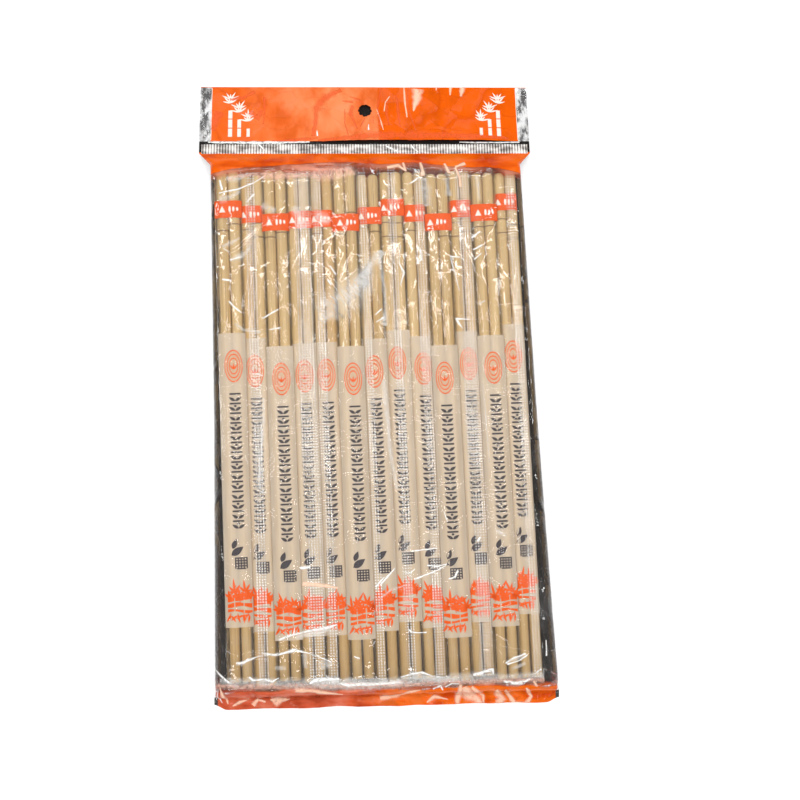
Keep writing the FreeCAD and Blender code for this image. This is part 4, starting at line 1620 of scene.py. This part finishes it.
def sloped(across, down, up):
    """A point of the neck or header: across from its middle, down from its top edge, up from its back."""
    y = neck_fold_y - down * math.cos(neck_tilt) + up * math.sin(neck_tilt)
    return (header_middle_x + across, y, down * math.sin(neck_tilt) + up * math.cos(neck_tilt))


def silver_material():
    """The crumpled film of the ribbed weld, with painted shade in its grooves and painted highlights on
    its whitened crests.
    """
    material, tree = new_material("ribbed_weld")
    flat, across, _ = flat_coordinates(tree)
    cloudy = stretched_noise(tree, flat, (160.0, 300.0, 1.0), 3.0)
    teeth = maths(tree, "COSINE", maths(tree, "MULTIPLY", across, rib_turns))
    # The colour follows the rib waves: painted shade in the grooves and painted highlight on the crests,
    # clouded by noise.
    whitened = maths(tree, "ADD", maths(tree, "MULTIPLY", teeth, -0.14), cloudy)
    colour = ramp(tree, whitened, [(0.31, groove_shade_dark), (0.49, rib_silver), (0.67, crest_white_and_highlight)])
    finish_with(tree, coated(tree, colour, bumped(tree, cloudy, 0.4 * MM), 0.2, 0.6))
    return material


def rib_point(across, down):
    """A point on the ribs."""
    tooth = 0.5 - 0.5 * math.cos(rib_turns * across)
    crumple = rib_crumple * max(0.0, noise.noise(Vector((across / (9 * MM), down / (6 * MM), 8.8))))
    return sloped(across, down, neck_up + rib_height * tooth + crumple)


rib_places = [(i / per_rib - rib_count / 2) * rib_pitch for i in range(rib_count * per_rib + 1)]
flat = [[(across, down) for across in rib_places] for down in spread(weld_high, weld_low, rib_lines)]
skin.grid([[rib_point(*place) for place in row] for row in flat], flat, WELD)
print("points on the ribs:", rib_lines * len(rib_places))

# %% Gleams on the neck, and the whole pouch
# Each gleam: its finish, then points across the neck and down from its top with a half width, in mm
# Painted highlights along the ribbed weld.
neck_gleams = (
    (CREASE_HIGHLIGHT, (-73.0, 29.2, 0.5), (-58.3, 29.3, 0.6), (-48.1, 29.5, 0.8), (-35.1, 29.2, 0.6),
     (-26.0, 29.0, 0.3)),
    (CREASE_HIGHLIGHT, (-49.9, 30.2, 0.3), (-48.4, 31.6, 0.5), (-46.8, 33.4, 0.2)),
    (CREASE_HIGHLIGHT, (9.6, 31.2, 0.4), (12.0, 32.4, 0.8), (14.7, 33.8, 0.4)),
    (CREASE_HIGHLIGHT, (21.3, 30.6, 0.4), (22.6, 32.2, 0.6), (24.6, 34.2, 0.2)),
    (CREASE_HIGHLIGHT, (44.0, 29.2, 0.3), (58.0, 29.4, 0.4), (72.5, 29.2, 0.4)),
)


def on_neck(across, down):
    """A point just above the ribs."""
    return sloped(across, down, neck_up + rib_height + gleam_above)


for finish, *path in neck_gleams:
    gleam(skin, path, finish, on_neck)
pouch = skin.piece("film_pouch", [pouch_film, back_film_smoky, silver_material()] + gleam_materials)
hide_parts("pouch")
print("ribs:", rib_count, "faces in the pouch:", len(pouch.data.polygons))

# %% [markdown]
# ## The header strip
#
# A printed film is folded over the bag's top edge and welded through. Its front leaf is orange with
# clear margins at the sides, and its lower edge stands away from the bag. A punched hole takes the
# shop's hook. The left half lies a little higher, up to a sharp crease beside the hole.

# %% Shape of the header's leaves
header_half = 77.24 * MM
margin = 5.3 * MM
header_print_half = header_half - margin
header_height = 28.7 * MM
leaf_up = 0.75 * MM
fold_r = 0.38 * MM
hole_down = 13.3 * MM
hole_r = 3.2 * MM
crease_across = 6.6 * MM
lift_height = 1.5 * MM
step_height = 0.75 * MM
wave_height = 0.5 * MM
pucker_height = 0.45 * MM
pucker_reach = 4 * MM
print_columns = 190
margin_columns = 7
HEADER_CLEAR, HEADER_ORANGE, HEADER_PALE = range(3)


def leaf_rise(across, down):
    """How far the front leaf stands up from the neck."""
    share = down / header_height
    lifted = smooth(across, -34 * MM, 4 * MM) * (1 - smooth(across, 50 * MM, 74 * MM))
    rise = lift_height * lifted * share**2
    step = step_height * smooth(across, -60 * MM, crease_across - 1.2 * MM)
    step *= 1 - smooth(across, crease_across - 1.2 * MM, crease_across + 0.4 * MM)
    rise += step * math.sin(math.pi * min(1.0, share * 1.1 + 0.05))
    waves = 0.5 + 0.5 * noise.noise(Vector((across / (13 * MM), down / (21 * MM), 6.1)))
    rise += wave_height * waves * smooth(share, 0.0, 0.3)
    away = math.hypot(across, down - hole_down)
    turn = math.atan2(down - hole_down, across)
    near_hole = math.exp(-(((away - hole_r) / pucker_reach) ** 2))
    pucker = near_hole * (0.5 + 0.5 * math.sin(9 * turn + 1.2))
    return rise + pucker_height * pucker * smooth(share, 0.0, 0.2)


def leaf_columns():
    """Places across the header, with the edges of its print among them."""
    outer = spread(-header_half, -header_print_half, margin_columns)[:-1]
    inner = spread(-header_print_half, header_print_half, print_columns)
    return outer + inner + [-across for across in reversed(outer)]


print("hole in mm:", round(2 * hole_r / MM, 1))


# %% A leaf as a grid with its hole cut and rounded
leaf_lines = 38
fold_lines = 9
back_leaf_up = 0.06 * MM


def round_to_hole(across, down, reach):
    """Moves a point near the hole's edge onto it."""
    away = math.hypot(across, down - hole_down)
    if away < 1e-9 or abs(away - hole_r) > reach:
        return across, down
    scale = hole_r / away
    return across * scale, hole_down + (down - hole_down) * scale


def add_leaf(skin, downs, height_of, turned):
    """One leaf of the header. height_of gives its height from its back at a point."""
    columns = leaf_columns()
    reach = 0.5 * (header_height / len(downs)) * 1.05
    points = {}
    first = len(skin.points)
    for i, down in enumerate(downs):
        for j, across in enumerate(columns):
            moved = round_to_hole(across, down, reach)
            points[i, j] = moved
            skin.points.append(sloped(moved[0], moved[1], height_of(*moved)))
    width = len(columns)
    for i in range(len(downs) - 1):
        for j in range(width - 1):
            ring = [(i, j), (i, j + 1), (i + 1, j + 1), (i + 1, j)]
            middle = [sum(points[key][k] for key in ring) / 4 for k in (0, 1)]
            if math.hypot(middle[0], middle[1] - hole_down) < hole_r * 0.985:
                continue
            if turned:
                ring.reverse()
            skin.faces.append(tuple(first + row * width + column for row, column in ring))
            skin.flat.extend(points[key] for key in ring)
            printed = abs(middle[0]) < header_print_half
            skin.finishes.append(HEADER_ORANGE if printed else HEADER_CLEAR)


def fold_point(across, angle):
    """A point round the fold that joins the two leaves."""
    top = leaf_up + leaf_rise(across, fold_r)
    middle = (top + back_leaf_up) / 2
    return sloped(across, fold_r - fold_r * math.cos(angle), middle + (top - middle) * math.sin(angle))


header = Skin()
downs = spread(fold_r, header_height, leaf_lines)
add_leaf(header, downs, lambda across, down: leaf_up + leaf_rise(across, down), True)
add_leaf(header, downs, lambda across, down: back_leaf_up, False)
turns = spread(-math.pi / 2, math.pi / 2, fold_lines)
fold_rows = [[fold_point(across, angle) for across in leaf_columns()] for angle in turns]
fold_downs = [fold_r - fold_r * math.cos(angle) for angle in turns]
fold_flat = [[(across, down) for across in leaf_columns()] for down in fold_downs]
header.grid(fold_rows, fold_flat, HEADER_ORANGE)
print("faces in the header:", len(header.faces))

# %% [markdown]
# ## Print on the header
#
# The header's orange has a pale line at each side and a pair of pale bamboo sprigs. They are drawn as
# stalk joints and leaves, laid on the leaf with the same height function as the leaf itself.

# %% Sprigs and side lines
header_ink_above = 0.06 * MM
header_stem = 0.05
sprig_across = 63.0 * MM
side_line = 0.28 * MM


def on_header(across, down, above=header_ink_above):
    """A point just above the front leaf."""
    return sloped(across, down, leaf_up + leaf_rise(across, down) + above)


def header_shape(rows):
    """Lays rows of (across, down) points on the header in pale ink."""
    header.grid([[on_header(*point) for point in row] for row in rows], rows, HEADER_PALE)


def header_block(across, down, width, height):
    """A filled rectangle about its middle."""
    header_shape(block_rows(across, down, width, height, int(width / MM) + 1, int(height / MM) + 1))


def header_sprig(side):
    """A group of stalks with leaf sprays, on one side of the header."""
    outer = side * sprig_across
    for stalk, (place, joints) in enumerate(((0.0, 3), (-4.2, 2), (-8.4, 1))):
        across = outer + side * place * MM
        for joint in range(joints):
            header_block(across, (24.2 - 4.7 * joint) * MM, (1.9 - 0.2 * stalk) * MM, 4.2 * MM)
        for tier in range(2):
            tip = (21.4 - 4.7 * joints - 2.1 * tier) * MM
            for i, turn in enumerate((-76, -44, -14, 18, 52)):
                length = (3.8 + 0.9 * math.sin(2 * i + stalk + tier)) * MM
                leaning = -side * (turn + 12 * tier)
                header_shape(leaf_rows(across, tip + 1.6 * MM, length, 0.75 * MM, leaning, header_stem))


for side in (-1, 1):
    header_sprig(side)
for side in (-1, 1):
    line_across = side * (header_print_half - 0.15 * MM)
    header_block(line_across, header_height / 2, side_line, header_height - 1.6 * MM)
print("faces with the print:", len(header.faces))

# %% Gleams and painted fold shade on the header
# Each gleam: its finish, then points across the header and down from its fold with a half width, in mm
# Dark strips are painted shade in the header's folds; the light ones are painted highlights and peach
# glints.
header_gleams = (
    (FOLD_SHADE, (-11.0, 1.8, 0.9), (-18.8, 6.2, 1.4), (-22.2, 10.6, 1.2), (-23.3, 18.6, 0.8),
     (-24.4, 26.3, 0.7)),
    (FOLD_SHADE, (-68.1, 13.3, 2.1), (-69.6, 18.0, 2.1), (-70.9, 23.2, 0.9)),
    (FOLD_SHADE, (-43.5, 28.4, 0.2), (-32.7, 28.1, 0.7), (-22.2, 27.1, 0.4)),
    (FOLD_SHADE, (-22.1, 28.4, 0.4), (-8.1, 27.3, 0.9), (6.9, 26.3, 1.5), (30.4, 26.3, 1.4), (49.2, 26.8, 0.9),
     (67.2, 27.4, 0.5)),
    (FOLD_SHADE, (-7.1, 5.5, 0.2), (-2.7, 7.4, 0.4), (-0.8, 10.2, 0.5)),
    (FOLD_SHADE, (-10.5, 8.0, 0.3), (-5.5, 8.6, 0.5)),
    (FOLD_SHADE, (-6.1, 10.5, 0.9), (-6.7, 15.5, 0.7), (-3.5, 22.9, 0.2)),
    (FOLD_SHADE, (-2.3, 21.7, 0.2), (-0.0, 17.3, 0.2)),
    (FOLD_SHADE, (3.9, 16.6, 0.2), (3.8, 19.8, 0.2)),
    (FOLD_SHADE, (-9.4, 12.4, 0.2), (-9.5, 19.8, 0.2), (-7.9, 26.0, 0.2)),
    (FOLD_SHADE, (7.6, 0.5, 0.4), (6.0, 11.1, 0.4), (7.4, 22.6, 0.4)),
    (FOLD_SHADE, (-47.1, 5.6, 0.5), (-47.1, 14.3, 0.4), (-47.6, 19.8, 0.2)),
    (FOLD_SHADE, (-53.9, 13.3, 0.9), (-50.1, 16.4, 1.2), (-48.3, 12.2, 0.7)),
    (FOLD_SHADE, (-63.3, 7.0, 0.5), (-56.8, 5.9, 0.9), (-51.7, 2.7, 0.5)),
    (CREASE_HIGHLIGHT, (-22.5, 23.2, 0.3), (-22.5, 26.0, 0.5)),
    (CREASE_HIGHLIGHT, (1.6, 20.6, 0.2), (1.6, 23.4, 0.4)),
    (FOLD_SHADE, (20.7, 1.0, 0.2), (20.2, 7.4, 0.3), (21.3, 14.8, 0.3), (23.7, 23.4, 0.2)),
    (PEACH_GLEAM, (25.3, 1.1, 2.1), (24.6, 6.8, 1.4), (22.9, 13.2, 0.2)),
    (PEACH_GLEAM, (40.9, 0.4, 0.6), (40.7, 4.5, 0.2)),
    (PEACH_GLEAM, (46.6, 0.4, 0.9), (45.8, 5.1, 0.4)),
    (PEACH_GLEAM, (34.2, 0.4, 0.4), (34.1, 1.8, 0.2)),
    (PEACH_GLEAM, (5.6, 12.6, 0.2), (7.5, 18.8, 0.2), (8.5, 23.4, 0.2)),
    (PEACH_GLEAM, (9.1, 13.2, 0.2), (9.7, 8.6, 0.2), (11.8, 5.1, 0.2)),
    (PEACH_GLEAM, (18.8, 0.4, 0.2), (18.9, 6.9, 0.3), (19.8, 16.4, 0.2)),
    (FOLD_SHADE, (11.0, 6.9, 0.2), (10.0, 13.2, 0.5), (11.2, 20.6, 0.2)),
    (FOLD_SHADE, (14.9, 4.2, 0.2), (15.7, 12.2, 0.6), (16.4, 21.6, 0.2)),
)

for finish, *path in header_gleams:
    gleam(header, path, finish, lambda across, down: on_header(across, down, gleam_above))
print("gleams on the header:", len(header_gleams))

# %% Header materials
header_colour = (0.87, 0.115, 0.001)
# Painted shade in the header's folds.
header_fold_shade = (0.66, 0.07, 0.001)
# Painted pale reflection on the header's left half.
painted_glare_pale = (0.96, 0.30, 0.12)
margin_tint = (0.97, 0.97, 0.97)


def header_film_material():
    """Printed header film: saturated ink with folds and a weak gloss, with painted shade in soft patches
    and along its fold lines, and a painted pale reflection over its left half.
    """
    material, tree = new_material("header_orange")
    flat, across, _ = flat_coordinates(tree)
    wander = stretched_noise(tree, flat, (34.0, 30.0, 1.0), 2.0)
    crinkles = stretched_noise(tree, flat, (70.0, 40.0, 1.0), 4.0, 0.55)
    fine = stretched_noise(tree, flat, (520.0, 260.0, 1.0), 2.0)
    moved = stretched_vector(tree, flat, wander)
    large = facets(tree, moved, (46.0, 60.0), 0.12)
    small = facets(tree, moved, (110.0, 140.0), 0.06)
    # Darker in soft patches: painted shade for the header's soft folds.
    header_shaded = tuple(value * 0.80 for value in header_colour)
    shade = ramp(tree, crinkles, [(0.36, header_shaded), (0.52, header_colour)])
    folds = stretched_noise(tree, moved, (30.0, 22.0, 1.0), 2.0, 0.5)
    off_fold = maths(tree, "ABSOLUTE", maths(tree, "SUBTRACT", folds, 0.5))
    # Painted shade along the fold lines, on the same lines as the bump's ridges.
    shade = blend_colours(tree, ramp_value(tree, off_fold, 0.0, 0.02, -0.5, 0.5), shade, header_fold_shade)
    ridge = ramp_value(tree, off_fold, 0.0, 0.03, -0.3 * MM)
    height = maths(tree, "ADD", maths(tree, "ADD", large, small), ridge)
    bump = bumped(tree, fine, 0.08 * MM, bumped(tree, height, 1.0))
    # Painted reflection: the left half, up to the crease, is paler, as where a lamp mirrors in the film.
    left = ramp_value(tree, across, crease_across - 0.8 * MM, crease_across + 0.2 * MM, -1.0, 1.0)
    left = maths(tree, "MULTIPLY", left, ramp_value(tree, across, -66 * MM, -20 * MM, 0.62, 0.12))
    left = maths(tree, "MULTIPLY", left, ramp_value(tree, crinkles, 0.40, 0.60, 0.9, 0.25))
    shade = blend_colours(tree, left, shade, painted_glare_pale)
    finish_with(tree, coated(tree, shade, bump, 0.18, 0.06))
    return material


def header_margin_material():
    """The unprinted side margins of the header: crumpled clear film over the dark back film, with white
    haze in patches that is partly milkiness and partly painted reflection.
    """
    material, tree = new_material("header_margin")
    flat, _, _ = flat_coordinates(tree)
    crinkles = stretched_noise(tree, flat, (260.0, 120.0, 1.0), 4.0, 0.65)
    creased = facets(tree, flat, (420.0, 190.0), 0.55)
    bump = bumped(tree, creased, 1.0, bumped(tree, crinkles, 0.8 * MM))
    # Strong white haze in patches: partly the film's milkiness, partly painted reflection.
    haze = ramp_value(tree, crinkles, 0.42, 0.56, 0.78, 0.08)
    finish_with(tree, film_shader(tree, haze, margin_tint, bump, shine=1.6))
    return material


header_materials = [header_margin_material(), header_film_material(), pale_ink] + gleam_materials
header_piece = header.piece("header_leaves", header_materials)
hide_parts("header_strip")
print("finishes of the header:", len(header_materials))

# %% [markdown]
# ## Camera, floor and light
#
# The pack is seen from nearly straight above, a little from its foot. The camera is placed in the
# pack's own frame. A pale floor and a pale sky light it evenly, and narrow soft lamps give the film
# something to mirror. The floor is lifted to white only where the camera looks at it, straight or in
# the film's gloss, so that its lift never brightens the pack.

# %% Camera
camera_place = (-12.55, -61.53, 509.1)
camera_turns = (6.299, -2.551, -0.925)
camera_data = bpy.data.cameras.new("camera")
camera_data.lens = 50.0
camera_data.sensor_width = 36.0
camera = bpy.data.objects.new("camera", camera_data)
camera.location = [value * MM for value in camera_place]
camera.rotation_euler = [math.radians(angle) for angle in camera_turns]
bpy.context.scene.collection.objects.link(camera)
bpy.context.scene.camera = camera
print("camera height in m:", round(camera.location.z, 3))

# %% Floor
floor_half = 1.6
floor_lift = 0.30
floor_greys = ((0.4, (0.86, 0.86, 0.86)), (0.6, (0.88, 0.88, 0.88)))


def floor_material():
    """A pale matt floor that the camera and the film see a little lighter than the pack does."""
    material, tree = new_material("pale_floor")
    speckle = add(tree, "ShaderNodeTexNoise", values={"Scale": 900.0, "Detail": 2.0})
    matt = add(tree, "ShaderNodeBsdfDiffuse", {"Color": ramp(tree, speckle.outputs["Fac"], floor_greys)})
    path = add(tree, "ShaderNodeLightPath")
    seen = maths(tree, "MAXIMUM", path.outputs["Is Camera Ray"], path.outputs["Is Glossy Ray"])
    seen = maths(tree, "MAXIMUM", seen, path.outputs["Is Transmission Ray"])
    lift = add(tree, "ShaderNodeEmission", {"Strength": maths(tree, "MULTIPLY", seen, floor_lift)})
    both = add(tree, "ShaderNodeAddShader", {0: matt.outputs[0], 1: lift.outputs[0]})
    finish_with(tree, both.outputs[0])
    return material


floor_mesh = bpy.data.meshes.new("floor")
corners = [(-floor_half, -floor_half, 0), (floor_half, -floor_half, 0), (floor_half, floor_half, 0)]
corners.append((-floor_half, floor_half, 0))
floor_mesh.from_pydata(corners, [], [(0, 1, 2, 3)])
floor_mesh.materials.append(floor_material())
floor = bpy.data.objects.new("floor", floor_mesh)
bpy.context.scene.collection.objects.link(floor)
print("floor side in m:", 2 * floor_half)

# %% Sky and lamps
sky_strength = 0.50
sky = bpy.data.worlds.new("studio")
bpy.context.scene.world = sky
sky.use_nodes = True
background = sky.node_tree.nodes["Background"]
background.inputs["Color"].default_value = (*white, 1.0)
background.inputs["Strength"].default_value = sky_strength


def lamp(name, place, size, watts):
    """A soft rectangular lamp that faces the middle of the pack."""
    data = bpy.data.lights.new(name, "AREA")
    data.shape = "RECTANGLE"
    data.size = size[0]
    data.size_y = size[1]
    data.energy = watts
    made = bpy.data.objects.new(name, data)
    made.location = place
    made.rotation_euler = (Vector((0, 0, 0)) - Vector(place)).to_track_quat("-Z", "Y").to_euler()
    bpy.context.scene.collection.objects.link(made)


lamp("left_lamp", (-0.42, 0.10, 1.15), (0.06, 0.9), 3.2)
lamp("right_lamp", (0.46, 0.10, 1.15), (0.06, 0.9), 3.0)
lamp("foot_lamp", (-0.05, -0.55, 1.15), (0.8, 0.06), 3.0)
lamp("head_lamp", (0.05, 0.80, 1.15), (0.5, 0.05), 1.5)
lamp("header_lamp", (-0.20, 1.05, 1.15), (0.30, 0.30), 2.0)
lamp("window_lamp", (-0.03, 0.29, 1.2), (0.10, 0.18), 0.9)
bpy.context.scene.view_settings.view_transform = "Standard"
print("lamps:", len(bpy.data.lights))
